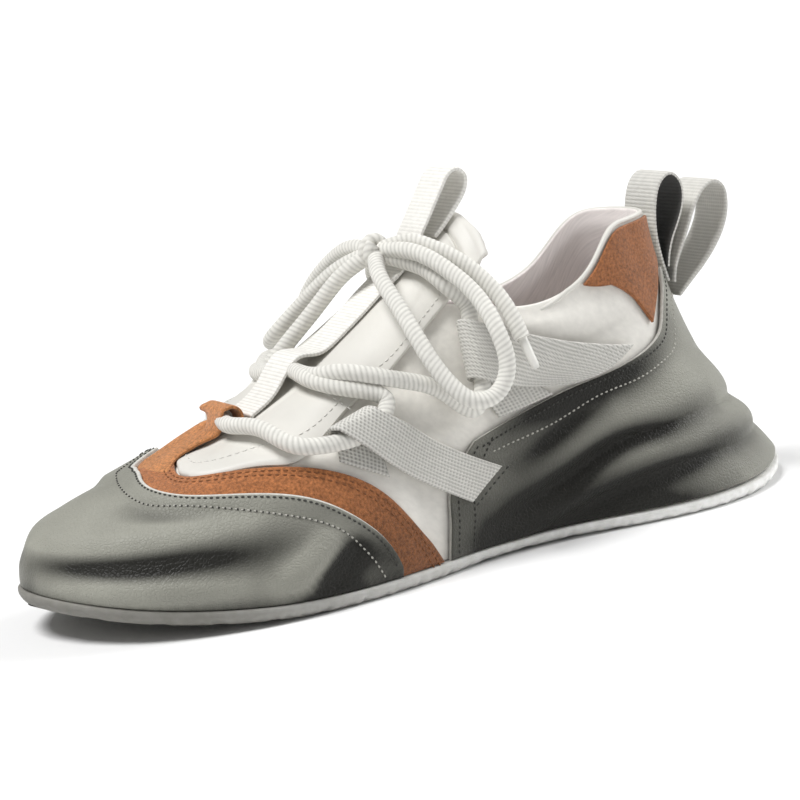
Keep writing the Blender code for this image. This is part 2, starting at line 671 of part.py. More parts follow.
def build_straps(shoe):
    """Webbing straps, each folded round the lace, on both sides."""
    across = np.linspace(0, 1, 3)[None, :]
    for name, corners in STRAP_ROWS.items():
        ends = [np.array(corners[k : k + 2]) for k in (0, 2, 4)]
        foot, fold, tip = (
            [pair[0, k] * (1 - across) + pair[1, k] * across for k in (0, 1)] for pair in ends
        )
        for side_name, side in (("outer", 1), ("inner", -1)):
            rows = []
            for share in np.linspace(0, 1, 4)[:-1]:
                turn, up = (foot[k] * (1 - share) + fold[k] * share for k in (0, 1))
                rows.append(wall_at(side * np.radians(turn), up, np.full(up.shape, 1.4 + 0.2 * share)))
            turn, up = side * np.radians(fold[0]), fold[1]
            seat = wall_at(turn, up)
            out = wall_at(turn, up, np.ones(up.shape)) - seat
            back = [0.6 * foot[k] + 0.4 * tip[k] for k in (0, 1)]
            away = seat - wall_at(side * np.radians(back[0]), back[1])
            away -= out * np.sum(away * out, -1, keepdims=True)
            away /= np.linalg.norm(away, axis=-1, keepdims=True)
            for angle in np.linspace(0, math.pi, 6):
                lift = LACE_LIFT - LACE_LOOP * math.cos(angle)
                rows.append(seat + away * LACE_LOOP * math.sin(angle) + out * lift)
            top = LACE_LIFT + LACE_LOOP
            for share in np.linspace(0, 1, 6)[1:]:
                turn, up = (fold[k] * (1 - share) + tip[k] * share for k in (0, 1))
                up = up + STRAP_BOW[name] * 4 * share * (1 - share) * across
                fall = min(1.0, share / 0.6)
                lift = top + (STRAP_TIP_LIFT[name] - top) * fall * fall * (3 - 2 * fall)
                rows.append(wall_at(side * np.radians(turn), up, np.full(up.shape, lift)))
            full_name = f"{name}_{side_name}"
            item = shoe.add(full_name, sheet(full_name, np.concatenate(rows)), "white_webbing")
            thicken(item, STRAP, 0)


def build_throat_loop(shoe):
    """Suede tab from the band, looped over the middle of the lace."""
    on_band = [wall_at(math.pi, up, lift)[[0, 2]] for up, lift in ((0.69, 3.2), (0.80, 4.2))]
    radius = LACE / 2 + 0.5 + SUEDE / 2
    angles = np.radians((75, 110, 145, 180, 210))
    bend = [(THROAT_LACE[0] + radius * math.cos(a), THROAT_LACE[1] + radius * math.sin(a)) for a in angles]
    add_ribbon(shoe, "throat_loop", [*on_band, *bend], SUEDE, STRIP_HALF, "rust_suede", 4.0)


def tongue_crest(lift):
    """Middle line of the tongue's outer face, raised, as x and z from the front."""
    inner, outer = tongue_faces()
    middle = inner.shape[1] // 2
    crest, under = outer[:, middle], inner[:, middle]
    normal = (crest - under) / np.linalg.norm(crest - under, axis=1, keepdims=True)
    raised = crest + normal * lift
    return raised[:, [0, 2]]


def build_tongue_strip(shoe):
    """Webbing down the middle of the tongue, over the crossing lace, with a pull tab at its top."""
    line = tongue_crest(GAP + WEBBING / 2)
    hump = (LACE + 2.5) * np.exp(-(((line[:, 0] - CROSSING_X + 1) / 16.0) ** 4))
    line[:, 1] += hump
    keep = (line[:, 0] < 220) & (line[:, 0] > 150)
    add_ribbon(shoe, "tongue_strip", [*line[keep], *TAB_ROUTE], WEBBING, STRIP_HALF, "white_webbing")


def build_heel_loops(shoe):
    add_ribbon(shoe, "heel_loop_front", INNER_LOOP_ROUTE, WEBBING, HEEL_LOOP_HALF, "white_webbing")
    add_ribbon(shoe, "heel_loop_rear", OUTER_LOOP_ROUTE, WEBBING, HEEL_LOOP_HALF, "white_webbing")


def lace_route(side):
    """One half of the lace: suede loop, front strap, across the tongue, far rear strap, knot."""
    near = ((150, 0.90, 6.8), (134, 0.74, 6.8), (123.3, 0.566, 6.8), (117.2, 0.5438, LACE_LIFT),
            (106.6, 0.5883, LACE_LIFT), (106.3, 0.623, 6.5), (111.6, 0.693, 6.8), (119.0, 0.800, 6.4))
    far = ((121.0, 0.880, 7.0), (115.5, 0.793, 9.0), (110.5, 0.735, 9.4), (102.5, 0.668, 7.8),
           (95.2, 0.590, 6.6), (89.6, 0.535, 5.9), (88.1, 0.620, LACE_LIFT), (88.6, 0.760, LACE_LIFT),
           (89.1, 0.890, LACE_LIFT), (89.4, 0.960, LACE_LIFT))
    crest = tongue_crest(GAP + LACE / 2)
    height = np.interp(-CROSSING_X, -crest[:, 0], crest[:, 1])
    route = [(THROAT_LACE[0], -side * 2.0, THROAT_LACE[1])]
    route += [wall_at(side * math.radians(turn), up, lift) for turn, up, lift in near]
    route += [(CROSSING_X, 0.0, height + 0.15 * side)]
    route += [wall_at(-side * math.radians(turn), up, lift) for turn, up, lift in far]
    route += [(146.0, -side * 27.0, 97.0), (149.5, -side * 18.0, 103.5)]
    return np.array([*route, knot_side(route[-1])])


def knot_side(place):
    """Point just off the knot on the way from its middle to a place."""
    way = (np.asarray(place, float) - KNOT) / np.linalg.norm(np.asarray(place, float) - KNOT)
    return KNOT + way * (1 / np.linalg.norm(way / KNOT_HALF) + KNOT_GAP)


def build_lace_bars(shoe):
    """Both halves of the lace between suede loop and knot, joined where they cross."""
    halves = []
    for name, side in (("lace_bars", 1), ("lace_half", -1)):
        add_cord(shoe, name + "_curve", lace_route(side), LACE / 2, "lace_cord", 10.5)
        cord = bpy.data.objects[name + "_curve"]
        bpy.context.view_layer.update()
        mesh = bpy.data.meshes.new_from_object(cord.evaluated_get(bpy.context.evaluated_depsgraph_get()))
        mesh.materials.clear()
        bm = bmesh.new()
        bm.from_mesh(mesh)
        bmesh.ops.remove_doubles(bm, verts=bm.verts, dist=1e-6)
        bm.to_mesh(mesh)
        bm.free()
        bpy.data.objects.remove(cord, do_unlink=True)
        mesh.name = name
        halves.append(shoe.add(name, mesh, "lace_cord"))
    whole, other = halves
    union = whole.modifiers.new("Join", "BOOLEAN")
    union.operation = "UNION"
    union.solver = "EXACT"
    union.object = other
    other.hide_render = True
    other.display_type = "WIRE"
    shoe.parts.objects.unlink(other)
    shoe.cutters.objects.link(other)


def build_bow(shoe):
    """Knot, bow loops and free ends, which are cords."""
    bm = bmesh.new()
    bmesh.ops.create_uvsphere(bm, u_segments=10, v_segments=7, radius=1.0)
    for vert in bm.verts:
        vert.co = [vert.co[k] * KNOT_HALF[k] * MM for k in range(3)]
    knot = shoe.add("lace_knot", mesh_from(bm, "lace_knot"), "lace_cord")
    knot.location = [value * MM for value in KNOT]
    for name, route in (("bow_outer", OUTER_BOW), ("bow_inner", INNER_BOW)):
        add_cord(shoe, name, [knot_side(route[0]), *route, knot_side(route[-1])], LACE / 2, "lace_cord")
    for side_name, route in (("outer", OUTER_END), ("inner", INNER_END)):
        route = [knot_side(route[0]), *route]
        places = add_cord(shoe, f"lace_end_{side_name}", route, LACE / 2, "lace_cord")
        way = (places[-1] - places[-2]) / np.linalg.norm(places[-1] - places[-2])
        tip = [places[-1] + way * reach for reach in (GAP, GAP + TIP_LENGTH)]
        add_cord(shoe, f"lace_tip_{side_name}", tip, TIP_RADIUS, "white_leather", 20.0)


def main():
    clear_scene()
    shoe = Shoe()
    build_outsole(shoe)
    build_insole(shoe)
    build_upper(shoe)
    build_toe_wrap(shoe)
    build_suede_band(shoe)
    build_heel_wrap(shoe)
    build_collar_patches(shoe)
    build_tongue(shoe)
    build_straps(shoe)
    build_throat_loop(shoe)
    build_tongue_strip(shoe)
    build_heel_loops(shoe)
    build_lace_bars(shoe)
    build_bow(shoe)


main()
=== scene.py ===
"""Casual shoe for the left foot, dressed around its packed solids.

The form functions work in millimetres from the back of the heel (x), the centre line (y, outer side
positive) and the floor (z), as the part's source does. Meshes are written in metres in the row frame.
"""
import math

import bmesh
import bpy
import numpy as np
from bpy.props import FloatProperty, FloatVectorProperty, PointerProperty
from mathutils import Matrix


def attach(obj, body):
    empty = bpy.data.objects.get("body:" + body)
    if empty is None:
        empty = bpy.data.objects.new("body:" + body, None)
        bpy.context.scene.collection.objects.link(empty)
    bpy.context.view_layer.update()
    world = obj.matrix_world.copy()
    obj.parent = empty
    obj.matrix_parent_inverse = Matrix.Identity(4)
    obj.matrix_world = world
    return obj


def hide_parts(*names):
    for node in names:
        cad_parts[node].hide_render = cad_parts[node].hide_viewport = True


bl_info = {
    "name": "Casual Shoe",
    "version": (1, 0, 0),
    "blender": (4, 5, 0),
    "location": "View3D > Sidebar > Shoe",
    "description": "Builds the finished pieces of a left casual shoe around its packed solids",
    "category": "Object",
}

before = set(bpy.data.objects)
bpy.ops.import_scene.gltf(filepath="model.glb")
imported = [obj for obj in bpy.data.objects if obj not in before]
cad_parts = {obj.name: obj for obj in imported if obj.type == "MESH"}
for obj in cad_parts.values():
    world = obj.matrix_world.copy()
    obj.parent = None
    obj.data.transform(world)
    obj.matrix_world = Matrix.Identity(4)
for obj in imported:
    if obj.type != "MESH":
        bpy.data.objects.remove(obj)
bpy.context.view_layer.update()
BODY = "root"

SIDES = (("outer", 1), ("inner", -1))

# Clearances and thicknesses
GAP = 0.4
PANEL_GAP = 0.6
HEEL_GAP = 0.85
KNOT_GAP = 1.0
WALL = 2.0
LEATHER = 1.5
SUEDE = 1.3
TONGUE = 2.0
TONGUE_PAD = 4.5
STRAP = 1.2
WEBBING = 1.6
STRIP_HALF = 8.5
HEEL_LOOP_HALF = 10.0
LACE = 6.0
LACE_LIFT = 6.2
LACE_LOOP = 4.6
TIP_RADIUS = 2.4
TIP_LENGTH = 11.5

# Sole
SOLE_LENGTH = 305.0
SOLE_EDGE = 7.5
SOLE_SHOWN = 5.0
FOOT_LAP = 0.08
SOLE_STEP = 3.2
TOE_SPRING = 12.0
TOE_SPRING_FROM = 0.66
HEEL_SPRING = 3.0
HEEL_SPRING_TO = 0.12
HEEL_ROUND = 32.0
TOE_ROUND = 36.0
TOE_TIP_OFFSET = -6.5
ARCH_RISE = 2.0
ARCH_MIDDLE = 0.42
ARCH_SPAN = 0.11
LUG_START = 9.0
LUG_PITCH = 18.0
LUG_DEPTH = 1.6
# share of the length from the heel, centre line, half width
SOLE_ROWS = (
    (0.04, -0.2, 27.4),
    (0.12, 2.0, 41.8),
    (0.22, 3.0, 45.0),
    (0.35, 3.2, 39.0),
    (0.48, 4.2, 38.0),
    (0.60, 5.4, 45.2),
    (0.70, 3.2, 51.0),
    (0.78, 0.8, 52.4),
    (0.88, -1.6, 45.2),
    (0.95, -4.2, 32.3),
)

# Collar and throat edge
COLLAR_BACK = 49.0
THROAT_FRONT = 230.0
COLLAR_ROUND = 20.0
THROAT_ROUND = 7.0
# share of the opening from its back, half width, height on the outer side, height on the inner side
TOP_ROWS = (
    (0.00, None, 107.0, 107.0),
    (0.05, 18.5, 107.5, 106.5),
    (0.10, 23.0, 107.0, 101.0),
    (0.15, 26.5, 105.0, 91.0),
    (0.20, 29.0, 96.0, 85.0),
    (0.28, 31.0, 87.0, 81.5),
    (0.37, 30.0, 84.5, 81.5),
    (0.46, 25.0, 87.0, 86.0),
    (0.56, 19.5, 90.0, 90.0),
    (0.70, 16.0, 81.5, 81.5),
    (0.85, 13.0, 66.0, 66.0),
    (0.95, 9.0, 57.5, 57.5),
    (1.00, None, 54.5, 54.5),
)
# degrees round from the heel, outward lean at the sole, its reach, drop at the top, its reach
PROFILE_ROWS = (
    (0, -46.7, 39.1, 86.4, 21.3),
    (30, -39.1, 38.1, 88.5, 20.1),
    (60, -12.0, 26.0, 80.0, 26.0),
    (85, 0.0, 26.0, 62.0, 24.0),
    (110, 8.0, 24.0, 30.0, 26.0),
    (135, 8.0, 24.0, 22.0, 30.0),
    (160, 4.0, 23.0, 20.0, 32.0),
    (180, 1.0, 24.0, 17.0, 34.0),
)

# Panels, each place given as degrees round from the heel and share of the way up the wall
# suede band: outer edge degrees and share, inner edge degrees and share
BAND_ROWS = (
    (104.3, 0.000, 96.4, 0.000),
    (107.0, 0.150, 101.0, 0.180),
    (113.0, 0.285, 108.0, 0.360),
    (121.0, 0.385, 121.0, 0.510),
    (132.0, 0.450, 137.0, 0.612),
    (145.0, 0.500, 151.0, 0.666),
    (158.0, 0.580, 162.0, 0.742),
    (170.0, 0.660, 171.0, 0.805),
    (180.0, 0.700, 180.0, 0.840),
)
# heel wrap: degrees round, share at its top edge
HEEL_TOP_ROWS = (
    (0, 0.66),
    (10, 0.69),
    (17, 0.735),
    (25, 0.69),
    (33, 0.623),
    (42.5, 0.552),
    (48.3, 0.55),
    (55.3, 0.582),
    (65, 0.606),
    (75.6, 0.568),
    (83, 0.485),
    (89.2, 0.416),
)
# heel wrap: share of its height, degrees round at its front edge
HEEL_FRONT_ROWS = ((0.0, 95.4), (0.35, 94.6), (0.63, 94.0), (1.0, 89.2))
# folds of the heel wrap: degrees round, share at the low valley, high valley, top of the last roll, height
FOLD_ROWS = (
    (0, 0.105, 0.225, 0.42, 2.6),
    (25, 0.108, 0.250, 0.43, 2.6),
    (43, 0.126, 0.277, 0.46, 2.7),
    (55, 0.136, 0.302, 0.49, 2.7),
    (64, 0.112, 0.312, 0.50, 2.6),
    (72, 0.055, 0.240, 0.45, 2.2),
    (82, -0.010, 0.110, 0.36, 1.2),
    (90, -0.060, 0.050, 0.28, 0.4),
    (100, -0.100, 0.000, 0.25, 0.0),
)
# heights of the rolls from the sole up, as shares of that height
ROLL_SIZES = (0.34, 1.0, 0.85)
# collar patch: degrees round, share at its lower edge
PATCH_ROWS = (
    (17, 0.765),
    (25, 0.715),
    (33, 0.648),
    (42.5, 0.578),
    (45.5, 0.69),
    (51, 0.83),
    (59, 0.965),
)

# Tongue
# degrees round, share of the way up at the tongue's hem
HEM_ROWS = ((93, 0.985), (99, 0.875), (105, 0.735), (110, 0.695), (114, 0.665), (119, 0.582), (124, 0.550),
            (130, 0.590), (137, 0.620), (151, 0.674), (158, 0.722), (162, 0.750), (167, 0.79),
            (172, 0.82), (177, 0.84))
TONGUE_TURNS = (177, 172, 167, 162, 157, 150, 142, 134, 128, 123, 118, 113, 108, 103)
# middle of the tongue's inner face: x, height
CREST_ROWS = ((123.5, 116.5), (132.5, 112.0), (140, 108.5), (147, 105.3), (154, 101.8), (162, 97.0),
              (171, 90.8), (180, 84.5), (189, 78.0), (197, 72.2), (206, 66.2), (214, 61.6), (224, 56.6))
# top of the tongue, clear of the quarters: edge x, edge y, edge z, crest x, crest z
TONGUE_ROWS = (
    (139.0, 21.5, 94.0, 137.5, 109.6),
    (133.5, 22.0, 97.5, 131.5, 112.4),
    (129.0, 21.5, 101.0, 126.5, 115.0),
    (127.5, 17.0, 106.0, 123.5, 116.4),
)

# Webbing and lace
# straps: degrees and share for the foot's two corners, the fold's two ends and the tip's two corners
STRAP_ROWS = {
    "front_strap": ((114.0, 0.480), (104.8, 0.365), (115.0, 0.553), (108.1, 0.582),
                    (91.2, 0.185), (85.6, 0.300)),
    "rear_strap": ((84.5, 0.500), (75.0, 0.580), (88.1, 0.640), (89.1, 0.880),
                   (71.0, 0.612), (53.0, 0.618)),
}
STRAP_TIP_LIFT = {"front_strap": 3.6, "rear_strap": 3.4}
# how far each strap's upper edge bows up between fold and tip, as a share of the wall
STRAP_BOW = {"front_strap": 0.0, "rear_strap": 0.07}
# lace through the suede loop and across the tongue, in the middle plane: x, z
THROAT_LACE = (226.3, 63.2)
CROSSING_X = 199.0
# pull tab above the tongue and heel loops, in the middle plane: x, z
TAB_ROUTE = ((148.4, 105.4), (145.0, 111.4), (141.0, 118.0), (136.6, 124.6), (132.8, 130.2), (129.6, 134.0),
             (126.0, 134.9), (123.2, 132.2), (123.8, 127.6), (127.6, 122.4), (131.6, 118.2))
TAB_TAIL = ((135.0, 114.9), (138.2, 112.2))
INNER_LOOP_ROUTE = ((42.9, 84.5), (44.3, 91.0), (45.2, 98.0), (45.0, 105.0), (43.5, 112.6), (40.6, 117.6),
                    (36.6, 119.4), (33.0, 116.6), (31.8, 111.5), (32.9, 106.0), (35.6, 100.2), (38.6, 94.6),
                    (40.6, 88.4))
OUTER_LOOP_ROUTE = ((39.0, 78.6), (38.2, 83.0), (36.2, 88.0), (33.2, 93.6), (29.8, 100.2), (25.6, 107.8),
                    (21.2, 112.2), (16.8, 113.5), (13.4, 111.2), (12.2, 106.0), (13.0, 100.4), (15.6, 94.6),
                    (20.0, 88.6), (25.6, 83.0), (31.4, 78.2), (37.3, 73.3))
# knot: middle and half sizes
KNOT = (158.5, 0.0, 110.0)
KNOT_HALF = (8.5, 9.5, 6.5)
# bow of the lace, out of the knot and back to it, and its free ends: x, y, z
OUTER_BOW = ((165.5, 14, 103.5), (167, 25, 96.5), (167, 40, 83), (162, 51, 67), (156.5, 55, 61.5),
             (149, 56, 61.5), (142.5, 56, 69.5), (142.5, 53, 82), (143, 43, 93.5), (147, 30, 103.5),
             (152.5, 16, 110))
INNER_BOW = ((165.5, -12.5, 105), (171, -23.5, 97.5), (176.5, -34, 88.5), (182, -40.3, 81.2),
             (181.5, -47.5, 77), (175.5, -53, 76.3), (168.3, -53.8, 80.5), (165, -46.5, 91),
             (163.5, -34.5, 101), (162, -22, 108), (160.8, -12, 111))
OUTER_END = ((149.5, 9, 112.5), (144.5, 17, 110), (138.5, 25, 104.5), (133, 32.5, 96.5), (129.8, 39.5, 87),
             (128.2, 44.2, 77))
INNER_END = ((168, -9, 102.5), (173.5, -14, 95.5), (179, -18, 88.5), (185, -21, 82), (191.5, -23, 75.5),
             (197.5, -25, 69.5))

# Creases laid along given lines: depth (a trough is negative), half width, then degrees round and share
# along the line
TOE_CREASES = (
    (-0.8, 6.0, (160, 0.498), (151.5, 0.441), (141.6, 0.398), (132.8, 0.353)),
    (1.8, 6.5, (184, 0.216), (165.5, 0.245), (156.2, 0.270), (147.3, 0.300), (140, 0.320), (130.6, 0.337)),
    (-1.3, 6.5, (176, 0.125), (171.7, 0.130), (162.1, 0.142), (154.5, 0.156), (145.8, 0.178), (138.9, 0.20),
     (129.8, 0.21), (121, 0.22)),
    (1.6, 5.0, (172, 0.02), (158, 0.035), (144, 0.05), (130, 0.07)),
    (-1.6, 4.5, (109.5, 0.20), (112, 0.13), (114.5, 0.07), (118, 0.0)),
    (1.8, 6.0, (114, 0.22), (118, 0.13), (123, 0.05)),
    (-1.0, 6.0, (201, 0.49), (209, 0.44), (219, 0.40), (228, 0.355)),
    (1.6, 6.5, (186, 0.22), (203, 0.268), (219, 0.315), (231, 0.34)),
    (-1.2, 6.0, (185, 0.145), (200, 0.175), (214, 0.20), (232, 0.225)),
    (-1.3, 4.5, (251, 0.16), (247, 0.10), (241, 0.03)),
)
# painted shade along the same troughs and along the sole: strength, half width, line
TOE_SHADES = (
    (0.5, 9.5, (180, 0.115), (171.7, 0.128), (162.1, 0.142), (154.5, 0.156), (145.8, 0.176), (138.9, 0.20),
     (129.8, 0.21), (117, 0.22)),
    (0.8, 8.0, (103, 0.0), (106, 0.07), (110, 0.10), (114, 0.04), (118, -0.02)),
    (0.8, 2.8, (182, -0.01), (150, -0.01), (120, -0.01), (100, -0.01)),
    (0.12, 6.0, (160, 0.49), (151.5, 0.435), (141.6, 0.395), (130, 0.36)),
    (0.45, 8.5, (182, 0.14), (200, 0.17), (214, 0.20), (236, 0.22)),
    (0.9, 7.0, (257, 0.0), (254, 0.07), (250, 0.10), (246, 0.04), (242, -0.02)),
    (0.5, 2.6, (178, -0.01), (210, -0.01), (240, -0.01), (260, -0.01)),
)
HEEL_CREASES = (
    (-1.4, 4.5, (58, 0.30), (64, 0.305), (67.6, 0.287), (71.2, 0.243), (74.8, 0.189), (79.2, 0.133),
     (86.5, 0.074)),
    (-1.6, 5.5, (41, 0.125), (52, 0.136), (60, 0.124), (66.4, 0.097), (70.4, 0.068), (78.7, -0.01)),
    (0.9, 5.0, (50, 0.20), (56.6, 0.193), (63.4, 0.182), (69.8, 0.150), (75.4, 0.085), (80.3, 0.035)),
    (-0.9, 3.5, (66, 0.52), (68.9, 0.49), (71.7, 0.462), (75.9, 0.408), (77.8, 0.376), (81, 0.32)),
    (0.7, 4.0, (64, 0.45), (70, 0.40), (75, 0.34), (80, 0.27)),
    (-0.6, 3.0, (84, 0.37), (84.5, 0.33), (86, 0.27)),
    (-1.2, 4.5, (-58, 0.30), (-67, 0.29), (-75, 0.185), (-85, 0.08)),
    (-1.3, 5.5, (-45, 0.145), (-60, 0.122), (-70, 0.07), (-78, 0.0)),
    (0.8, 5.0, (-50, 0.20), (-63, 0.18), (-75, 0.085)),
)
# painted shade on the heel leather along its valleys, along the sole and under its top edge: strength, half
# width, line
HEEL_SHADES = (
    (0.85, 4.5, (36, 0.262), (46, 0.275), (55, 0.295), (62, 0.318), (67.7, 0.295), (71.4, 0.249),
     (74.9, 0.193), (79.2, 0.135), (83.8, 0.093), (88, 0.06)),
    (0.95, 5.0, (24, 0.112), (34, 0.125), (45, 0.135), (53, 0.128), (59.5, 0.13), (65.2, 0.108),
     (70.4, 0.07), (77, 0.0)),
    (0.8, 4.0, (44, 0.0), (56, -0.01), (68, -0.01), (80, -0.01), (90, -0.01)),
    (0.75, 5.5, (34, 0.56), (45, 0.52), (56, 0.545), (66, 0.57), (76, 0.53), (84, 0.44), (89, 0.38)),
    (0.5, 4.0, (66, 0.46), (72, 0.43), (77, 0.37), (82, 0.29)),
    (0.8, 4.5, (-36, 0.262), (-55, 0.295), (-67.7, 0.295), (-75, 0.193), (-88, 0.06)),
    (0.9, 5.0, (-24, 0.112), (-45, 0.135), (-60, 0.13), (-70, 0.07), (-77, 0.0)),
    (0.8, 4.0, (-44, 0.0), (-68, -0.01), (-90, -0.01)),
)
QUARTER_CREASES = (
    (-1.1, 3.0, (69, 0.79), (66.3, 0.783), (55.2, 0.73), (49.3, 0.675)),
    (1.3, 5.5, (86, 0.96), (76, 0.92), (66, 0.875), (57, 0.81), (50, 0.74)),
    (-0.8, 3.5, (72, 0.70), (64, 0.68), (55, 0.645)),
    (-0.8, 4.0, (98, 0.05), (98, 0.20), (100, 0.34)),
    (0.5, 4.0, (101, 0.08), (102, 0.25), (104, 0.36)),
    (-0.9, 4.0, (100, 0.46), (95, 0.50), (90, 0.49)),
    (0.9, 5.0, (102, 0.40), (97, 0.43), (91, 0.44)),
    (-1.0, 3.0, (-69, 0.79), (-56, 0.73), (-49, 0.67)),
    (1.2, 5.5, (-84, 0.95), (-70, 0.89), (-57, 0.82), (-49, 0.75)),
    (-0.8, 4.0, (-98, 0.05), (-98, 0.20), (-100, 0.34)),
)
# how far the toe leather laps over the suede band, as a share of the band
TOE_LAP = 0.10
# how far the toe leather reaches up past the suede loop on its inner side: degrees round, share
TOE_LOBE = ((180, 0.0), (190, 0.04), (200, 0.10), (206, 0.14), (210, 0.185), (216, 0.14), (226, 0.06),
            (236, 0.0))
# suede loop's foot: share up the wall, degrees at its outer and inner edge, lift
LOOP_ROWS = (
    (0.70, 163.0, 204.0, 0.6),
    (0.75, 166.5, 207.5, 1.3),
    (0.80, 171.0, 210.0, 2.1),
    (0.85, 174.5, 211.0, 2.7),
    (0.90, 174.5, 210.5, 3.2),
    (0.95, 171.0, 209.5, 4.0),
    (0.995, 167.0, 209.0, 5.0),
)
# second stitch row on toe and heel: degrees round, share
TOE_ROW = ((106.9, 0.02), (109.3, 0.126), (113.7, 0.238), (121.7, 0.329), (133.6, 0.411), (145.3, 0.465),
           (154.1, 0.498), (160.4, 0.536), (170.9, 0.597), (180, 0.632), (190, 0.648), (200, 0.655),
           (207, 0.66), (212, 0.65), (218, 0.585), (226, 0.485), (233, 0.40), (240, 0.31), (246.3, 0.238),
           (250.7, 0.126), (253.1, 0.02))
HEEL_ROW = ((86.2, 0.365), (76.3, 0.447), (66.6, 0.525), (54.5, 0.503), (46.7, 0.477), (39.1, 0.485),
            (32, 0.543), (20.3, 0.626), (11, 0.605), (0, 0.59))
# millimetres along the wall for a degree round it and for its whole height
DEGREE_MM = 1.85
SHARE_MM = 80.0

# rows and columns of the fine grids, and the angle from which an edge is drawn sharp
TONGUE_GRID = (120, 131)
STRAP_GRID = (230, 57)
SHARP = math.radians(50)

# Camera: azimuth, elevation and roll in degrees, distance, lens, shift in pixels of a square picture
CAMERA_ANGLES = (152.0, 11.45, 6.78)
CAMERA_AIM = (SOLE_LENGTH / 2, 0.0, 45.0)
CAMERA_AWAY = 1000.0
CAMERA_LENS = 124.26
CAMERA_SHIFT = (-11.06, 25.46)
PICTURE = 800

# Lamps: part of the key light's strength, softness in degrees and where each one stands
SUNS = (("key_light", 1.0, 26.0, (0.40, -0.02, 0.92)), ("back_light", 0.6, 40.0, (-0.86, 0.14, 0.48)))


# Form of the shoe


def spline(knots, values, x, level_ends=True):
    """Smooth cubic through the rows, level at both ends or with free ends."""
    knots = np.asarray(knots, float)
    values = np.asarray(values, float)
    gap = np.diff(knots)
    rise = np.diff(values) / gap
    count = len(knots)
    system = np.eye(count)
    right = np.zeros(count)
    for i in range(1, count - 1):
        system[i, i - 1 : i + 2] = 1 / gap[i - 1], 2 * (1 / gap[i - 1] + 1 / gap[i]), 1 / gap[i]
        right[i] = 3 * (rise[i - 1] / gap[i - 1] + rise[i] / gap[i])
    if not level_ends:
        system[0, :2] = 2, 1
        system[-1, -2:] = 1, 2
        right[0] = 3 * rise[0]
        right[-1] = 3 * rise[-1]
    slope = np.linalg.solve(system, right)
    x = np.asarray(x, float)
    i = np.clip(np.searchsorted(knots, x) - 1, 0, count - 2)
    t = (x - knots[i]) / gap[i]
    start = values[i] * (1 + 2 * t) * (1 - t) ** 2 + slope[i] * gap[i] * t * (1 - t) ** 2
    end = values[i + 1] * t * t * (3 - 2 * t) - slope[i + 1] * gap[i] * t * t * (1 - t)
    return start + end


def column(rows, index):
    """One column of a table."""
    return [row[index] for row in rows]


def lookup(rows, index, x):
    """Smooth value of one column of a table at x, held level outside its rows."""
    knots = column(rows, 0)
    return spline(knots, column(rows, index), np.clip(x, knots[0], knots[-1]), False)


def fullness(rows, width, length, back_round, front_round):
    """Half widths as multiples of a round-ended outline, with the end radii given."""
    shares = [row[0] for row in rows if row[width] is not None]
    halves = [row[width] for row in rows if row[width] is not None]
    values = [half / (2 * math.sqrt(share * (1 - share))) for share, half in zip(shares, halves)]
    back = math.sqrt(back_round * length / 2)
    front = math.sqrt(front_round * length / 2)
    return [0.0, *shares, 1.0], [back, *values, front]


SOLE_FULLNESS = fullness(SOLE_ROWS, 2, SOLE_LENGTH, HEEL_ROUND, TOE_ROUND)
SOLE_CENTRE = ([0.0, *column(SOLE_ROWS, 0), 1.0], [0.0, *column(SOLE_ROWS, 1), TOE_TIP_OFFSET])
TOP_FULLNESS = fullness(TOP_ROWS, 1, THROAT_FRONT - COLLAR_BACK, COLLAR_ROUND, THROAT_ROUND)


def floor_rise(x):
    """Height of the sole's underside above the floor from toe spring and heel bevel."""
    toe = np.clip((x / SOLE_LENGTH - TOE_SPRING_FROM) / (1 - TOE_SPRING_FROM), 0, 1)
    heel = np.clip(1 - x / SOLE_LENGTH / HEEL_SPRING_TO, 0, 1)
    return TOE_SPRING * toe**2 + HEEL_SPRING * heel**2


def sole_outline(turn, inset=0.0):
    """Plan of the sole's edge; turn runs from the heel round the outer side to the toe."""
    turn = np.asarray(turn, float)
    share = (1 - np.cos(turn)) / 2
    y = spline(*SOLE_CENTRE, share, False) + np.sin(turn) * spline(*SOLE_FULLNESS, share)
    plan = np.stack([share * SOLE_LENGTH, y], -1)
    if np.any(inset):
        along = sole_outline(turn + 0.001) - sole_outline(turn - 0.001)
        along /= np.linalg.norm(along, axis=-1, keepdims=True)
        plan = plan + np.asarray(inset)[..., None] * np.stack([along[..., 1], -along[..., 0]], -1)
    return plan


def wall_foot(turn):
    """Lower edge of the upper, just above the sole."""
    plan = sole_outline(turn, SOLE_STEP)
    height = floor_rise(plan[..., 0]) + SOLE_EDGE + GAP
    return np.concatenate([plan, height[..., None]], -1)


def wall_top(turn):
    """Collar and throat edge."""
    share = (1 - np.cos(turn)) / 2
    x = COLLAR_BACK + share * (THROAT_FRONT - COLLAR_BACK)
    y = np.sin(turn) * spline(*TOP_FULLNESS, share)
    shares = column(TOP_ROWS, 0)
    outer = spline(shares, column(TOP_ROWS, 2), share)
    inner = spline(shares, column(TOP_ROWS, 3), share)
    return np.stack([x, y, np.where(np.sin(turn) >= 0, outer, inner)], -1)


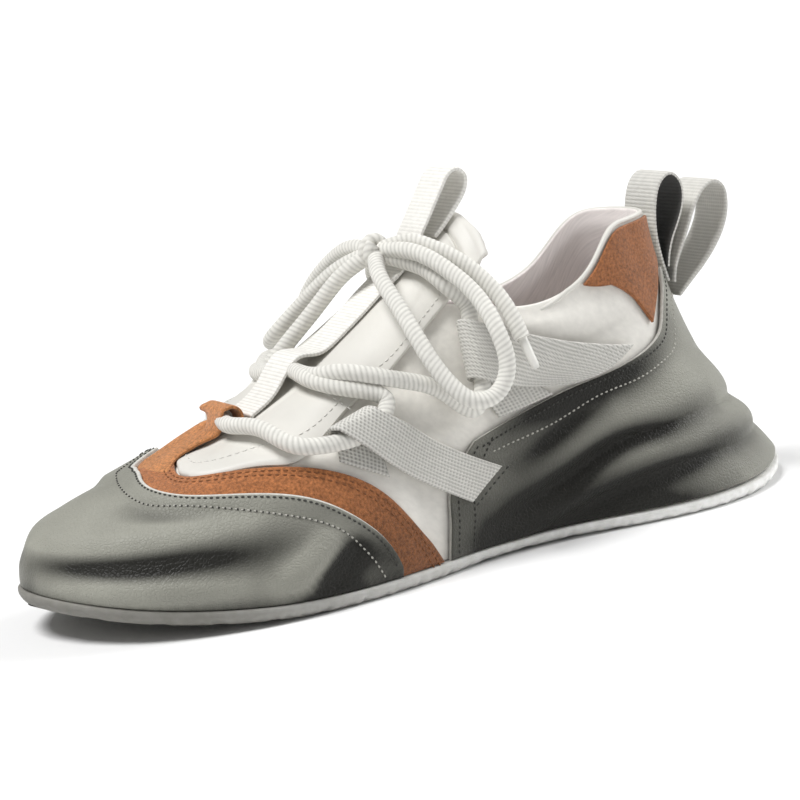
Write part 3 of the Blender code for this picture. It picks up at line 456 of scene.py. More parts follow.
def wall(turn, up):
    """Outer face of the upper: a curve in an upright plane from its foot to its top edge."""
    turn, up = np.broadcast_arrays(np.asarray(turn, float), np.asarray(up, float))
    foot, top = wall_foot(turn), wall_top(turn)
    out = foot - top
    out[..., 2] = 0
    out /= np.linalg.norm(out, axis=-1, keepdims=True)
    rise = np.array([0.0, 0.0, 1.0])
    degrees = np.degrees(np.arccos(np.cos(turn)))
    lean, reach, drop, pull = (spline(column(PROFILE_ROWS, 0), column(PROFILE_ROWS, k), degrees)[..., None]
                               for k in range(1, 5))
    lean, drop = np.radians(lean), np.radians(drop)
    low = foot + reach * (np.sin(lean) * out + np.cos(lean) * rise)
    high = top + pull * (np.cos(drop) * out - np.sin(drop) * rise)
    v = up[..., None]
    return foot * (1 - v) ** 3 + 3 * low * v * (1 - v) ** 2 + 3 * high * v * v * (1 - v) + top * v**3


def wall_at(turn, up, lift=0.0):
    """Point of the upper's outer face, lifted outward; the foot laps the sole's upper edge."""
    step = 0.002
    round_way = wall(turn + step, up) - wall(turn - step, up)
    up_way = wall(turn, up + step) - wall(turn, up - step)
    normal = np.cross(up_way, round_way)
    normal /= np.linalg.norm(normal, axis=-1, keepdims=True)
    point = wall(turn, up) + np.asarray(lift)[..., None] * normal
    point[..., 2] -= (SOLE_EDGE - SOLE_SHOWN) * np.clip(1 - np.asarray(up) / FOOT_LAP, 0, 1) ** 1.5
    return point


def heel_folds(turn, up):
    """Height of the three sagging rolls round the heel."""
    degrees = np.degrees(np.arccos(np.cos(turn)))
    low, high, top, height = (lookup(FOLD_ROWS, k, degrees) for k in range(1, 5))
    edges = (np.full_like(low, -0.06), low, high, top)
    total = np.zeros_like(low)
    for start, end, size in zip(edges[:-1], edges[1:], ROLL_SIZES):
        share = np.clip((up - start) / np.maximum(end - start, 0.01), 0, 1)
        total += size * np.sin(math.pi * share**0.62) ** 1.2
    return height * total


def band_column(index):
    """One column of the suede band's table, run on past both ends so that the sides meet smoothly."""
    values = column(BAND_ROWS, index)
    past = 360 - values[-2] if index in (0, 2) else values[-2]
    return [2 * values[0] - values[1], *values, past]


def band_edges(count):
    """Outer and inner edge of the suede band, each as degrees and share, outer side to inner side."""
    place = np.linspace(0, len(BAND_ROWS) - 1, count)
    edges = []
    for k in range(4):
        line = spline(range(-1, len(BAND_ROWS) + 1), band_column(k), place, False)
        far_side = 360 - line if k in (0, 2) else line
        edges.append(np.concatenate([line, far_side[-2::-1]]))
    return edges


def across_band(band, across):
    """Degrees and share part of the way from the suede band's outer edge to its inner edge."""
    turn, share, inner_turn, inner_share = band
    return turn * (1 - across) + inner_turn * across, share * (1 - across) + inner_share * across


def creases(rows, turn, up):
    """Sum of soft troughs and ridges along hand-placed lines on the wall."""
    total = np.zeros(np.broadcast(turn, up).shape)
    place = np.stack(np.broadcast_arrays(np.degrees(turn) * DEGREE_MM, up * SHARE_MM), -1)
    for depth, width, *line in rows:
        line = np.array(line) * (DEGREE_MM, SHARE_MM)
        line = smooth_route(line, 2.0)
        count = len(line)
        best = np.full(total.shape, 1e9)
        along = np.zeros(total.shape)
        for k, point in enumerate(line):
            away = np.sum((place - point) ** 2, -1)
            along = np.where(away < best, k / (count - 1), along)
            best = np.minimum(best, away)
        total += depth * np.exp(-best / width**2) * (0.35 + 0.65 * np.sin(math.pi * along))
    return total


def heel_relief(turn, up):
    """Height of the heel leather over its smooth form."""
    return np.maximum(heel_folds(turn, up) + creases(HEEL_CREASES, turn, up), -0.9)


def toe_relief(turn, up):
    """Height of the toe leather over its smooth form."""
    return np.maximum(creases(TOE_CREASES, turn, up), -1.0)


def toe_lift(turn, up, past):
    """Gap under the toe leather, which climbs on to the suede, and its relief.

    past is the distance in millimetres beyond the suede's lower edge.
    """
    ride = np.clip((past + 5.0) / 5.0, 0, 1)
    gap = PANEL_GAP + (SUEDE + 0.25) * ride * ride * (3 - 2 * ride)
    return gap, toe_relief(turn, up) * np.clip(-past / 8, 0, 1)


def smooth_route(points, step):
    """Points about a step apart along a smooth curve through the route's own points."""
    points = np.asarray(points, float)
    along = np.concatenate([[0], np.cumsum(np.linalg.norm(np.diff(points, axis=0), axis=1))])
    fine = np.linspace(0, along[-1], max(2, int(round(along[-1] / step))) + 1)
    return np.stack([spline(along, points[:, k], fine, False) for k in range(points.shape[1])], -1)


def refine(points, rows, columns):
    """Finer grid of points on the smooth surface through a coarse grid."""
    down, across = points.shape[:2]
    fine = np.linspace(0, down - 1, rows)
    mid = np.stack([np.stack([spline(range(down), points[:, j, k], fine, False) for j in range(across)], 1)
                    for k in range(3)], -1)
    fine = np.linspace(0, across - 1, columns)
    return np.stack([np.stack([spline(range(across), mid[i, :, k], fine, False) for i in range(rows)])
                     for k in range(3)], -1)


def normals(points):
    """Unit normals of a grid of points."""
    normal = np.cross(np.gradient(points, axis=1), np.gradient(points, axis=0))
    return normal / np.maximum(np.linalg.norm(normal, axis=-1, keepdims=True), 1e-9)


def tongue_faces():
    """Coarse inner face of the tongue, its outward normals and thickness, from the front row to its top."""
    side = np.linspace(0.5, 1, 4)
    across = np.concatenate([-side[::-1], np.linspace(-0.5, 0.5, 7)[1:-1], side])
    rows = []
    for degrees in TONGUE_TURNS:
        turn = math.radians(degrees)
        hem = float(lookup(HEM_ROWS, 1, degrees))
        flap = np.linspace(hem, 1.0, 4)
        lift = np.full(4, PANEL_GAP + 0.9 * np.clip((111 - degrees) / 8, 0, 1))
        outer_side = wall_at(np.full(4, turn), flap, lift)
        inner_side = wall_at(np.full(4, -turn), flap, lift)
        way_out = outer_side[-1] - outer_side[-2]
        way_in = inner_side[-1] - inner_side[-2]
        way_out /= np.linalg.norm(way_out)
        way_in /= np.linalg.norm(way_in)
        a, d = outer_side[-1], inner_side[-1]
        climb = lookup(CREST_ROWS, 1, a[0]) - (a[2] + d[2]) / 2
        reach = max(2.0, climb * 8 / 3 / (way_out[2] + way_in[2]))
        b = a + reach * way_out
        c = d + reach * way_in
        t = np.linspace(0, 1, 7)[1:-1, None]
        arch = a * (1 - t) ** 3 + 3 * b * t * (1 - t) ** 2 + 3 * c * t * t * (1 - t) + d * t**3
        rows.append(np.concatenate([outer_side, arch, inner_side[::-1]]))
    for edge_x, edge_y, edge_z, crest_x, crest_z in TONGUE_ROWS:
        x = crest_x + (edge_x - crest_x) * across**2
        z = crest_z - (crest_z - edge_z) * np.abs(across) ** 2.2
        rows.append(np.stack([x, -edge_y * across, z], -1))
    inner = np.stack(rows)
    normal = normals(inner)
    if normal[len(rows) // 2, len(across) // 2, 2] < 0:
        normal = -normal
    count = len(rows)
    pad = np.interp(np.arange(count), (0, len(TONGUE_TURNS), count - 2, count - 1), (0, 0, 1, 0.3))
    return inner, normal, TONGUE + (TONGUE_PAD - TONGUE) * pad


def tongue_crest(lift):
    """Middle line of the tongue's outer face, raised, as x and z from the front."""
    inner, normal, thickness = tongue_faces()
    middle = inner.shape[1] // 2
    raised = inner[:, middle] + normal[:, middle] * (thickness[:, None] + lift)
    return raised[:, [0, 2]]


def knot_side(place):
    """Point just off the knot on the way from its middle to a place."""
    way = (np.asarray(place, float) - KNOT) / np.linalg.norm(np.asarray(place, float) - KNOT)
    return KNOT + way * (1 / np.linalg.norm(way / KNOT_HALF) + KNOT_GAP)


def knot_end(place):
    """Point inside the knot on the way from its middle to a place."""
    way = np.asarray(place, float) - KNOT
    return KNOT + 2.5 * way / np.linalg.norm(way)


def lace_route(side):
    """One half of the lace: suede loop, front strap, across the tongue, far rear strap, knot."""
    near = ((150, 0.90, 6.8), (134, 0.74, 6.8), (123.3, 0.580, 6.4), (117.2, 0.5438, LACE_LIFT),
            (106.6, 0.5883, LACE_LIFT), (106.4, 0.624, 5.9), (110.8, 0.690, 5.7), (116.5, 0.757, 5.6),
            (122.5, 0.850, 5.8))
    far = ((122.0, 0.868, 6.6), (116.0, 0.788, 8.8), (111.0, 0.735, 9.0), (103.0, 0.668, 7.4),
           (95.2, 0.600, 6.2), (89.6, 0.540, 5.9), (88.1, 0.620, LACE_LIFT), (88.6, 0.760, LACE_LIFT),
           (89.1, 0.890, LACE_LIFT), (89.4, 0.960, LACE_LIFT))
    if side < 0:
        near = ((131, 0.78, 0.6), (123.5, 0.64, 2.8), *near[3:-1], (122.5, 0.850, 3.4))
    crest = tongue_crest(GAP + LACE / 2)
    height = np.interp(-CROSSING_X, -crest[:, 0], crest[:, 1])
    route = [(THROAT_LACE[0], -side * 2.0, THROAT_LACE[1])]
    if side < 0:
        route += [(THROAT_LACE[0] - 3.8, -10.5, THROAT_LACE[1] - 3.7)]
    route += [wall_at(side * math.radians(turn), up, lift) for turn, up, lift in near]
    route += [(CROSSING_X, 0.0, height + 0.15 * side)]
    if side > 0:
        far = ((122.0, 0.868, 3.4), (116.0, 0.788, 6.0), *far[2:])
    route += [wall_at(-side * math.radians(turn), up, lift) for turn, up, lift in far]
    route += [(146.0, -side * 27.0, 97.0), (149.5, -side * 18.0, 103.5)]
    return np.array([*route, knot_side(route[-1])])


def strap_rows(name, side):
    """Coarse middle surface of one webbing strap: foot, fold round the lace, tip."""
    across = np.linspace(0, 1, 3)[None, :]
    ends = [np.array(STRAP_ROWS[name][k : k + 2]) for k in (0, 2, 4)]
    foot, fold, tip = ([pair[0, k] * (1 - across) + pair[1, k] * across for k in (0, 1)] for pair in ends)
    rows = []
    for share in np.linspace(0, 1, 4)[:-1]:
        turn, up = (foot[k] * (1 - share) + fold[k] * share for k in (0, 1))
        rows.append(wall_at(side * np.radians(turn), up, np.full(up.shape, 1.4 + 0.2 * share)))
    turn, up = side * np.radians(fold[0]), fold[1]
    seat = wall_at(turn, up)
    out = wall_at(turn, up, np.ones(up.shape)) - seat
    back = [0.6 * foot[k] + 0.4 * tip[k] for k in (0, 1)]
    away = seat - wall_at(side * np.radians(back[0]), back[1])
    away -= out * np.sum(away * out, -1, keepdims=True)
    away /= np.linalg.norm(away, axis=-1, keepdims=True)
    for angle in np.linspace(0, math.pi, 6):
        lift = LACE_LIFT - LACE_LOOP * math.cos(angle)
        rows.append(seat + away * LACE_LOOP * math.sin(angle) + out * lift)
    top = LACE_LIFT + LACE_LOOP
    for share in np.linspace(0, 1, 6)[1:]:
        turn, up = (fold[k] * (1 - share) + tip[k] * share for k in (0, 1))
        up = up + STRAP_BOW[name] * 4 * share * (1 - share) * across
        fall = min(1.0, share / 0.6)
        lift = top + (STRAP_TIP_LIFT[name] - top) * fall * fall * (3 - 2 * fall)
        rows.append(wall_at(side * np.radians(turn), up, np.full(up.shape, lift)))
    return np.concatenate(rows)


# Meshes from grids of points


SIDE_SHIFT = np.array([SOLE_LENGTH / 2, 0.0, 0.0])
_plan = sole_outline(np.linspace(0, 2 * math.pi, 721))[:, 1]
SIDE_SHIFT[1] = (_plan.max() + _plan.min()) / 2


def to_row(points):
    """Millimetres in the shoe's own frame to metres in the row frame."""
    return (np.asarray(points, float) - SIDE_SHIFT) * 0.001


def run_length(points, axis):
    """Distance along a grid from its first row or column."""
    steps = np.linalg.norm(np.diff(points, axis=axis), axis=-1)
    start = np.zeros_like(np.take(steps, [0], axis))
    return np.concatenate([start, np.cumsum(steps, axis=axis)], axis)


def edge_distance(points):
    """Distance of each grid point from the panel's nearest edge."""
    near = np.full(points.shape[:2], 1e9)
    for axis in (0, 1):
        run = run_length(points, axis)
        near = np.minimum(near, np.minimum(run, np.take(run, [-1], axis) - run))
    return near


def rounded(near, radius):
    """Quarter-round profile from 0 at an edge to 1 at the radius."""
    return np.sqrt(1 - (1 - np.clip(near / radius, 0, 1)) ** 2)


def steps(count, size):
    """Shares from 0 to 1 with a few fine steps at both ends of a panel of that size."""
    fine = np.array([0.0, 0.25, 0.6, 1.1, 1.8]) / size
    return np.concatenate([fine, np.linspace(2.8 / size, 1 - 2.8 / size, count), 1 - fine[::-1]])


def grid_quads(rows, columns, base, ring=False, closed=False):
    """Corner indices of a grid's quads, and of the same corners on an unwrapped grid for the UV map."""
    i, j = np.meshgrid(np.arange(rows if closed else rows - 1), np.arange(columns if ring else columns - 1),
                       indexing="ij")
    corners = [(i, j), (i, j + 1), (i + 1, j + 1), (i + 1, j)]
    quads = np.stack([base + (a % rows) * columns + b % columns for a, b in corners], -1)
    places = np.stack([np.stack([a, b], -1) for a, b in corners], -2)
    return quads.reshape(-1, 4), places.reshape(-1, 4, 2)


def write_mesh(name, points, quads, uv, slots, hollow, materials):
    """Mesh object in the row frame with outward faces, a UV map in millimetres and a hollow attribute."""
    mesh = bpy.data.meshes.new(name)
    mesh.from_pydata(to_row(points).tolist(), [], [tuple(dict.fromkeys(quad)) for quad in quads.tolist()])
    layer = mesh.uv_layers.new(name="Cloth")
    flat = [corner for quad, place in zip(quads.tolist(), uv.tolist())
            for corner in dict(zip(quad, place)).values()]
    layer.data.foreach_set("uv", np.array(flat, np.float32).ravel())
    mesh.polygons.foreach_set("material_index", np.asarray(slots, np.int32))
    # painted shade per point, which every finish reads to darken its colour
    shade = mesh.attributes.new("hollow", "FLOAT", "POINT")
    shade.data.foreach_set("value", np.clip(hollow, 0, 1).astype(np.float32).ravel())
    for made in materials:
        mesh.materials.append(made)
    bm = bmesh.new()
    bm.from_mesh(mesh)
    bmesh.ops.recalc_face_normals(bm, faces=bm.faces)
    bm.to_mesh(mesh)
    bm.free()
    mesh.shade_smooth()
    mesh.set_sharp_from_angle(angle=SHARP)
    item = bpy.data.objects.new(name, mesh)
    bpy.context.scene.collection.objects.link(item)
    return item


def solid(name, inner, outer, materials, hollow=None, sides=(0, 1, 0), rim=None):
    """Closed solid between two like grids.

    sides gives the material of outer face, inner face and edges; rim marks outer quads finished as an edge.
    """
    rows, columns = inner.shape[:2]
    count = rows * columns
    table = np.stack([run_length(outer, 1), run_length(outer, 0)], -1)
    out_quads, out_places = grid_quads(rows, columns, count)
    in_quads, in_places = grid_quads(rows, columns, 0)
    quads = [out_quads, in_quads[:, ::-1]]
    places = [out_places, in_places[:, ::-1]]
    slots = [np.full(len(out_quads), sides[0]), np.full(len(in_quads), sides[1])]
    if rim is not None:
        slots[0] = np.where(rim[:-1, :-1].ravel(), sides[2], sides[0])
    grid = np.arange(count).reshape(rows, columns)
    borders = [[(i, j) for j in range(columns)] for i in (0, rows - 1)]
    borders += [[(i, j) for i in range(rows)] for j in (0, columns - 1)]
    for border in borders:
        index = [grid[i, j] for i, j in border]
        quads.append(np.array([(a, b, b + count, a + count) for a, b in zip(index[:-1], index[1:])]))
        places.append(np.array([(a, b, b, a) for a, b in zip(border[:-1], border[1:])]))
        slots.append(np.full(len(index) - 1, sides[2]))
    places = np.concatenate(places)
    uv = table[places[..., 0], places[..., 1]]
    points = np.concatenate([inner.reshape(-1, 3), outer.reshape(-1, 3)])
    low = np.zeros(count) if hollow is None else hollow.ravel()
    return write_mesh(name, points, np.concatenate(quads), uv, np.concatenate(slots),
                      np.concatenate([low, low]), materials)


def panel(name, turn, up, gap, thickness, materials, relief=0.0, edge=1.0, sides=(0, 0, 0), shade=0.0,
          rim=None):
    """Leather or suede panel cut from the wall, with rounded edges and relief."""
    inner = wall_at(turn, up, np.broadcast_to(gap, up.shape))
    near = edge_distance(inner)
    body = thickness * (0.7 + 0.3 * rounded(near, edge))
    outer = wall_at(turn, up, gap + body + relief * np.clip(near / 3, 0, 1))
    # painted shade: troughs of the relief and the given shade darken the colour
    hollow = np.clip(-np.broadcast_to(relief, up.shape) / 1.6 + np.broadcast_to(shade, up.shape), 0, 1)
    return solid(name, inner, outer, materials, hollow, sides, rim=rim)


def tube(route, radius, sides, ribs=0, rib_pitch=2.2, rib_depth=0.0, taper=None):
    """Points, quads, UV places and hollows of a tube along fine route points, ribbed as a twisted rope."""
    way = np.gradient(route, axis=0)
    way /= np.linalg.norm(way, axis=1, keepdims=True)
    across = np.cross(way[0], (0.31, 0.17, 0.93))
    frames = []
    for direction in way:
        across = across - direction * np.dot(across, direction)
        across /= np.linalg.norm(across)
        frames.append((across, np.cross(direction, across)))
    first = np.array([pair[0] for pair in frames])[:, None]
    second = np.array([pair[1] for pair in frames])[:, None]
    angle = np.linspace(0, 2 * math.pi, sides + 1)[None, :-1]
    along = np.concatenate([[0], np.cumsum(np.linalg.norm(np.diff(route, axis=0), axis=1))])[:, None]
    valley = (1 - np.abs(np.cos((ribs * angle - 2 * math.pi * along / rib_pitch) / 2))) * (ribs > 0)
    size = radius * (1 if taper is None else taper[:, None]) * (1 - rib_depth * valley)
    around = np.cos(angle)[..., None] * first + np.sin(angle)[..., None] * second
    ring = route[:, None] + size[..., None] * around
    rows = len(route)
    points = np.concatenate([ring.reshape(-1, 3), route[:1], route[-1:]])
    quads, places = grid_quads(rows, sides, 0, ring=True)
    caps = [(rows * sides, (k + 1) % sides, k, k) for k in range(sides)]
    last = (rows - 1) * sides
    for k in range(sides):
        following = last + (k + 1) % sides
        caps.append((rows * sides + 1, last + k, following, following))
    uv = np.stack([places[..., 1] * (2 * math.pi * radius / sides), along[places[..., 0], 0]], -1)
    cap_uv = np.zeros((len(caps), 4, 2))
    # painted shade in the grooves between the rope's ribs
    hollow = np.concatenate([valley.ravel() if ribs else np.zeros(rows * sides), [0, 0]])
    return points, np.concatenate([quads, np.array(caps)]), np.concatenate([uv, cap_uv]), hollow


def tubes(name, parts, materials):
    """One mesh object from several tubes."""
    points, quads, uv, hollow, start = [], [], [], [], 0
    for part in parts:
        points.append(part[0])
        quads.append(part[1] + start)
        uv.append(part[2])
        hollow.append(part[3])
        start += len(part[0])
    quads = np.concatenate(quads)
    return write_mesh(name, np.concatenate(points), quads, np.concatenate(uv), np.zeros(len(quads)),
                      np.concatenate(hollow), materials)


def keep(item, slot, *nodes):
    """Ties a finished piece to the shoe's body, its finish slot and the solids that it stands for."""
    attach(item, BODY)
    if nodes:
        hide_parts(*nodes)
    return item


# Finishes


class Tree:
    """Short way to add and join nodes of one tree."""

    def __init__(self, tree):
        self.tree = tree

    def add(self, kind, **inputs):
        """New node; set_ names a setting, i and a number or a socket's name a value or a link."""
        made = self.tree.nodes.new(kind)
        for key, value in inputs.items():
            if key.startswith("set_"):
                setattr(made, key[4:], value)
                continue
            numbered = key[0] == "i" and key[1:].isdigit()
            socket = made.inputs[int(key[1:]) if numbered else key.replace("_", " ")]
            if isinstance(value, bpy.types.NodeSocket):
                self.tree.links.new(value, socket)
            else:
                socket.default_value = value
        return made

    def maths(self, operation, first, second=0.0):
        """Output of a new maths node."""
        return self.add("ShaderNodeMath", set_operation=operation, i0=first, i1=second).outputs[0]


def shader_group(name, inputs):
    """New shader node group with the named float inputs, Vector first, and outputs Height and Tone."""
    group = bpy.data.node_groups.new(name, "ShaderNodeTree")
    group.interface.new_socket("Vector", in_out="INPUT", socket_type="NodeSocketVector")
    for label, value in inputs.items():
        socket = group.interface.new_socket(label, in_out="INPUT", socket_type="NodeSocketFloat")
        socket.default_value = value
    for label in ("Height", "Tone"):
        group.interface.new_socket(label, in_out="OUTPUT", socket_type="NodeSocketFloat")
    tree = Tree(group)
    return group, tree, tree.add("NodeGroupInput").outputs


def hide_grain():
    """Leather pores and fine creases."""
    group, tree, given = shader_group("Hide Grain", {"Scale": 900.0})
    cells = tree.add("ShaderNodeTexVoronoi", set_feature="DISTANCE_TO_EDGE", Vector=given["Vector"],
                     Scale=given["Scale"], Randomness=1.0)
    fine = tree.add("ShaderNodeTexNoise", Vector=given["Vector"],
                    Scale=tree.maths("MULTIPLY", given["Scale"], 2.2), Detail=3.0)
    broad = tree.add("ShaderNodeTexNoise", Vector=given["Vector"],
                     Scale=tree.maths("MULTIPLY", given["Scale"], 0.03), Detail=4.0)
    pores = tree.maths("SMOOTH_MIN", tree.maths("MULTIPLY", cells.outputs["Distance"], 3.0), 0.6)
    height = tree.maths("ADD", pores, tree.maths("MULTIPLY", fine.outputs["Fac"], 0.35))
    tree.add("NodeGroupOutput", Height=height, Tone=broad.outputs["Fac"])
    return group


def suede_nap():
    """Brushed fibre with lighter and darker strokes."""
    group, tree, given = shader_group("Suede Nap", {"Scale": 1500.0})
    fibre = tree.add("ShaderNodeTexNoise", Vector=given["Vector"], Scale=given["Scale"], Detail=5.0,
                     Roughness=0.75)
    speck = tree.add("ShaderNodeTexNoise", Vector=given["Vector"],
                     Scale=tree.maths("MULTIPLY", given["Scale"], 0.45), Detail=3.0)
    stroke = tree.add("ShaderNodeTexNoise", Vector=given["Vector"],
                      Scale=tree.maths("MULTIPLY", given["Scale"], 0.05), Detail=4.0, Distortion=0.8)
    tone = tree.maths("ADD", tree.maths("MULTIPLY", speck.outputs["Fac"], 0.8),
                      tree.maths("MULTIPLY", stroke.outputs["Fac"], 0.2))
    tree.add("NodeGroupOutput", Height=fibre.outputs["Fac"], Tone=tone)
    return group


def thread_weave():
    """Crossing threads on a UV map in millimetres."""
    group, tree, given = shader_group("Thread Weave", {"Pitch": 0.5})
    parts = tree.add("ShaderNodeSeparateXYZ", Vector=given["Vector"]).outputs
    waves = []
    for axis in ("X", "Y"):
        turns = tree.maths("DIVIDE", parts[axis], given["Pitch"])
        waves.append(tree.maths("SINE", tree.maths("MULTIPLY", turns, 2 * math.pi)))
    cross = tree.maths("MULTIPLY", waves[0], waves[1])
    slub = tree.add("ShaderNodeTexNoise", Vector=given["Vector"], Scale=0.35, Detail=4.0)
    tree.add("NodeGroupOutput", Height=tree.maths("MULTIPLY_ADD", cross, 0.5), Tone=slub.outputs["Fac"])
    return group


GROUPS = {}


def finish(name, colour, roughness, effect, scale, bump, spread, dark=0.55, sheen=0.0, specular=0.4,
           on_cloth=False, deep=0.25):
    """Principled material whose colour, roughness and bump come from an effect group and the hollows."""
    made = bpy.data.materials.new(name)
    made.use_nodes = True
    tree = Tree(made.node_tree)
    shader = made.node_tree.nodes["Principled BSDF"]
    if on_cloth:
        place = tree.add("ShaderNodeUVMap", set_uv_map="Cloth").outputs["UV"]
    else:
        place = tree.add("ShaderNodeTexCoord").outputs["Object"]
    if effect not in GROUPS:
        GROUPS[effect] = {"hide": hide_grain, "nap": suede_nap, "weave": thread_weave}[effect]()
    group = made.node_tree.nodes.new("ShaderNodeGroup")
    group.node_tree = GROUPS[effect]
    made.node_tree.links.new(place, group.inputs["Vector"])
    group.inputs[1].default_value = scale
    height, tone = group.outputs["Height"], group.outputs["Tone"]
    hollow = tree.add("ShaderNodeAttribute", set_attribute_name="hollow").outputs["Fac"]
    low = [value * (1 - spread) for value in colour]
    high = [min(1.0, value * (1 + spread)) for value in colour]
    ramp = tree.add("ShaderNodeMapRange", Value=tone, From_Min=0.3, From_Max=0.7)
    blend = tree.add("ShaderNodeMix", set_data_type="RGBA", i0=ramp.outputs[0], i6=(*low, 1), i7=(*high, 1))
    # painted shade: the colour is multiplied towards deep where the painted shade attribute is high, by up
    # to dark
    shade = tree.maths("MULTIPLY", hollow, dark)
    painted_shade_mix = tree.add("ShaderNodeMix", set_data_type="RGBA", set_blend_type="MULTIPLY", i0=shade,
                    i6=blend.outputs[2], i7=(deep, deep * 0.97, deep * 0.9, 1))
    made.node_tree.links.new(painted_shade_mix.outputs[2], shader.inputs["Base Color"])
    rough = tree.add("ShaderNodeMapRange", Value=tone, From_Min=0.3, From_Max=0.7,
                     To_Min=max(0.05, roughness - 0.06), To_Max=min(1.0, roughness + 0.06))
    made.node_tree.links.new(rough.outputs[0], shader.inputs["Roughness"])
    relief = tree.add("ShaderNodeBump", Strength=bump, Distance=0.0004, Height=height)
    made.node_tree.links.new(relief.outputs[0], shader.inputs["Normal"])
    shader.inputs["Sheen Weight"].default_value = sheen
    shader.inputs["Sheen Roughness"].default_value = 0.5
    shader.inputs["Specular IOR Level"].default_value = specular
    return made


# roughness, effect, its scale, bump and spread of tone, and what differs from the usual finish
WEBBING_FINISH = (0.8, "weave", 0.7, 0.3)
SUEDE_FINISH = (0.95, "nap", 2300.0, 1.0, 0.5)
THREAD_FINISH = (0.7, "nap", 2500.0, 0.3)
# dark and deep set how strongly the painted shade attribute darkens each finish
FINISH_ROWS = {
    # leather: strongest painted shade, down to nearly black
    "grey_leather": (0.46, "hide", 760.0, 0.55, 0.14, {"dark": 0.97, "deep": 0.03, "specular": 0.22}),
    "leather_edge": (0.75, "nap", 1500.0, 0.3, 0.15, {}),
    "rust_suede": (*SUEDE_FINISH, {"sheen": 0.3, "specular": 0.1, "dark": 0.8}),
    "white_nylon": (0.5, "weave", 0.45, 0.1, 0.05, {"on_cloth": True}),
    "white_leather": (0.48, "hide", 1200.0, 0.08, 0.04, {}),
    "white_webbing": (*WEBBING_FINISH, 0.06, {"on_cloth": True, "dark": 0.9}),
    "pale_webbing": (*WEBBING_FINISH, 0.06, {"on_cloth": True, "dark": 0.9}),
    # a lighter copy of the rust suede: painted light on the lace loop
    "loop_suede": (*SUEDE_FINISH, {"sheen": 0.3, "specular": 0.1}),
    "dark_webbing": (*WEBBING_FINISH, 0.12, {"on_cloth": True}),
    "lace_cord": (0.75, "weave", 0.55, 0.3, 0.05, {"on_cloth": True, "dark": 0.4, "sheen": 0.15}),
    "grey_rubber": (0.65, "nap", 700.0, 0.45, 0.12, {"dark": 1.0}),
    "lining": (0.85, "weave", 0.8, 0.35, 0.10, {"on_cloth": True, "sheen": 0.2}),
    "lace_tip": (0.3, "hide", 300.0, 0.02, 0.03, {}),
    "dark_thread": (*THREAD_FINISH, 0.3, {}),
    "brown_thread": (*THREAD_FINISH, 0.3, {}),
    "grey_thread": (*THREAD_FINISH, 0.2, {}),
    "white_thread": (0.65, "nap", 2500.0, 0.3, 0.1, {}),
}
FINISHES = {}


def make_finishes():
    """Every finish of the shoe, from the colours in the scene's settings."""
    colours = bpy.context.scene.shoe_colours
    for name, (*values, others) in FINISH_ROWS.items():
        FINISHES[name] = finish(name, getattr(colours, name), *values, **others)


# Pieces


def build_outsole():
    """Thin rubber sole with a lumpy edge, toe spring, arch and cross lugs."""
    fine = SOLE_LENGTH * (1 - np.cos(np.linspace(0, math.pi, 300))) / 2
    lugs = np.arange(LUG_START, SOLE_LENGTH - 8, LUG_PITCH)
    flank = (lugs[:, None] + LUG_PITCH * np.array([0, 0.66, 0.69, 0.74, 0.92, 0.97])).ravel()
    x = np.unique(np.round(np.concatenate([fine, flank[flank < SOLE_LENGTH - 6]]), 3))
    share = ((x - LUG_START) / LUG_PITCH) % 1
    groove = LUG_DEPTH * np.interp(share, (0, 0.66, 0.69, 0.74, 0.92, 0.97, 1), (0, 0, 0.2, 1, 1, 0.2, 0))
    groove *= (x > LUG_START) & (x < SOLE_LENGTH - 9)
    turn = np.arccos(np.clip(1 - 2 * x / SOLE_LENGTH, -1, 1))
    arch = ARCH_RISE * np.exp(-((x / SOLE_LENGTH - ARCH_MIDDLE) / ARCH_SPAN) ** 4)
    middle = sole_outline(turn) * 0.5 + sole_outline(-turn) * 0.5
    rings = []
    for side in (1, -1):
        lump = 0.5 + 0.2 * np.sin(x * 0.83 + side) + 0.18 * np.sin(x * 1.31 + 2 * side)
        lump += 0.12 * np.sin(x * 1.87)
        lump *= np.clip(np.sin(turn) * 6, 0, 1)
        bend = arch * (0.5 if side > 0 else 1.5)
        under = 0.15 * groove + bend
        edge = sole_outline(side * turn, 2.6)
        half = [(middle * 0.55 + edge * 0.45, groove + bend), (middle * 0.12 + edge * 0.88, groove + bend),
                (edge, under)]
        for inset, height, swell in ((1.5, 0.3, 0.5), (0.7, 0.8, 0.9), (0.25, 1.5, 1.0), (0.05, 2.4, 0.7),
                                     (0.0, 3.3, 0.4), (0.1, 4.1, 0.2), (0.45, 4.65, 0.0), (1.0, 4.9, 0.0),
                                     (1.9, SOLE_SHOWN, 0.0)):
            low = under * (1 - height / SOLE_SHOWN)
            plan = sole_outline(side * turn, inset + 0.5 * lump * swell)
            half.append((plan, height + low + 1.2 * lump * (1 - height / SOLE_SHOWN) * (height < 2)))
        shoulder = sole_outline(side * turn, 1.9)
        half.append((middle * 0.5 + shoulder * 0.5, np.full_like(x, SOLE_SHOWN)))
        rings.append([np.column_stack([plan, floor_rise(plan[:, 0]) + rise]) for plan, rise in half])
    loop = np.stack(rings[0] + rings[1][::-1], 1)
    rows, columns = loop.shape[:2]
    quads, places = grid_quads(rows, columns, 0, ring=True)
    around = np.concatenate([loop, loop[:, :1]], 1)
    table = np.stack([run_length(around, 1), run_length(around, 0)], -1)
    # painted shade: the rubber is darkened towards the toe
    item = write_mesh("outsole_rubber", loop.reshape(-1, 3), quads, table[places[..., 0], places[..., 1]],
                      np.zeros(len(quads)), np.interp(loop[..., 0], (60, 190, 260), (0, 0.55, 1)).ravel(),
                      [FINISHES["grey_rubber"]])
    weld(item)
    keep(item, "grey_rubber", "outsole")


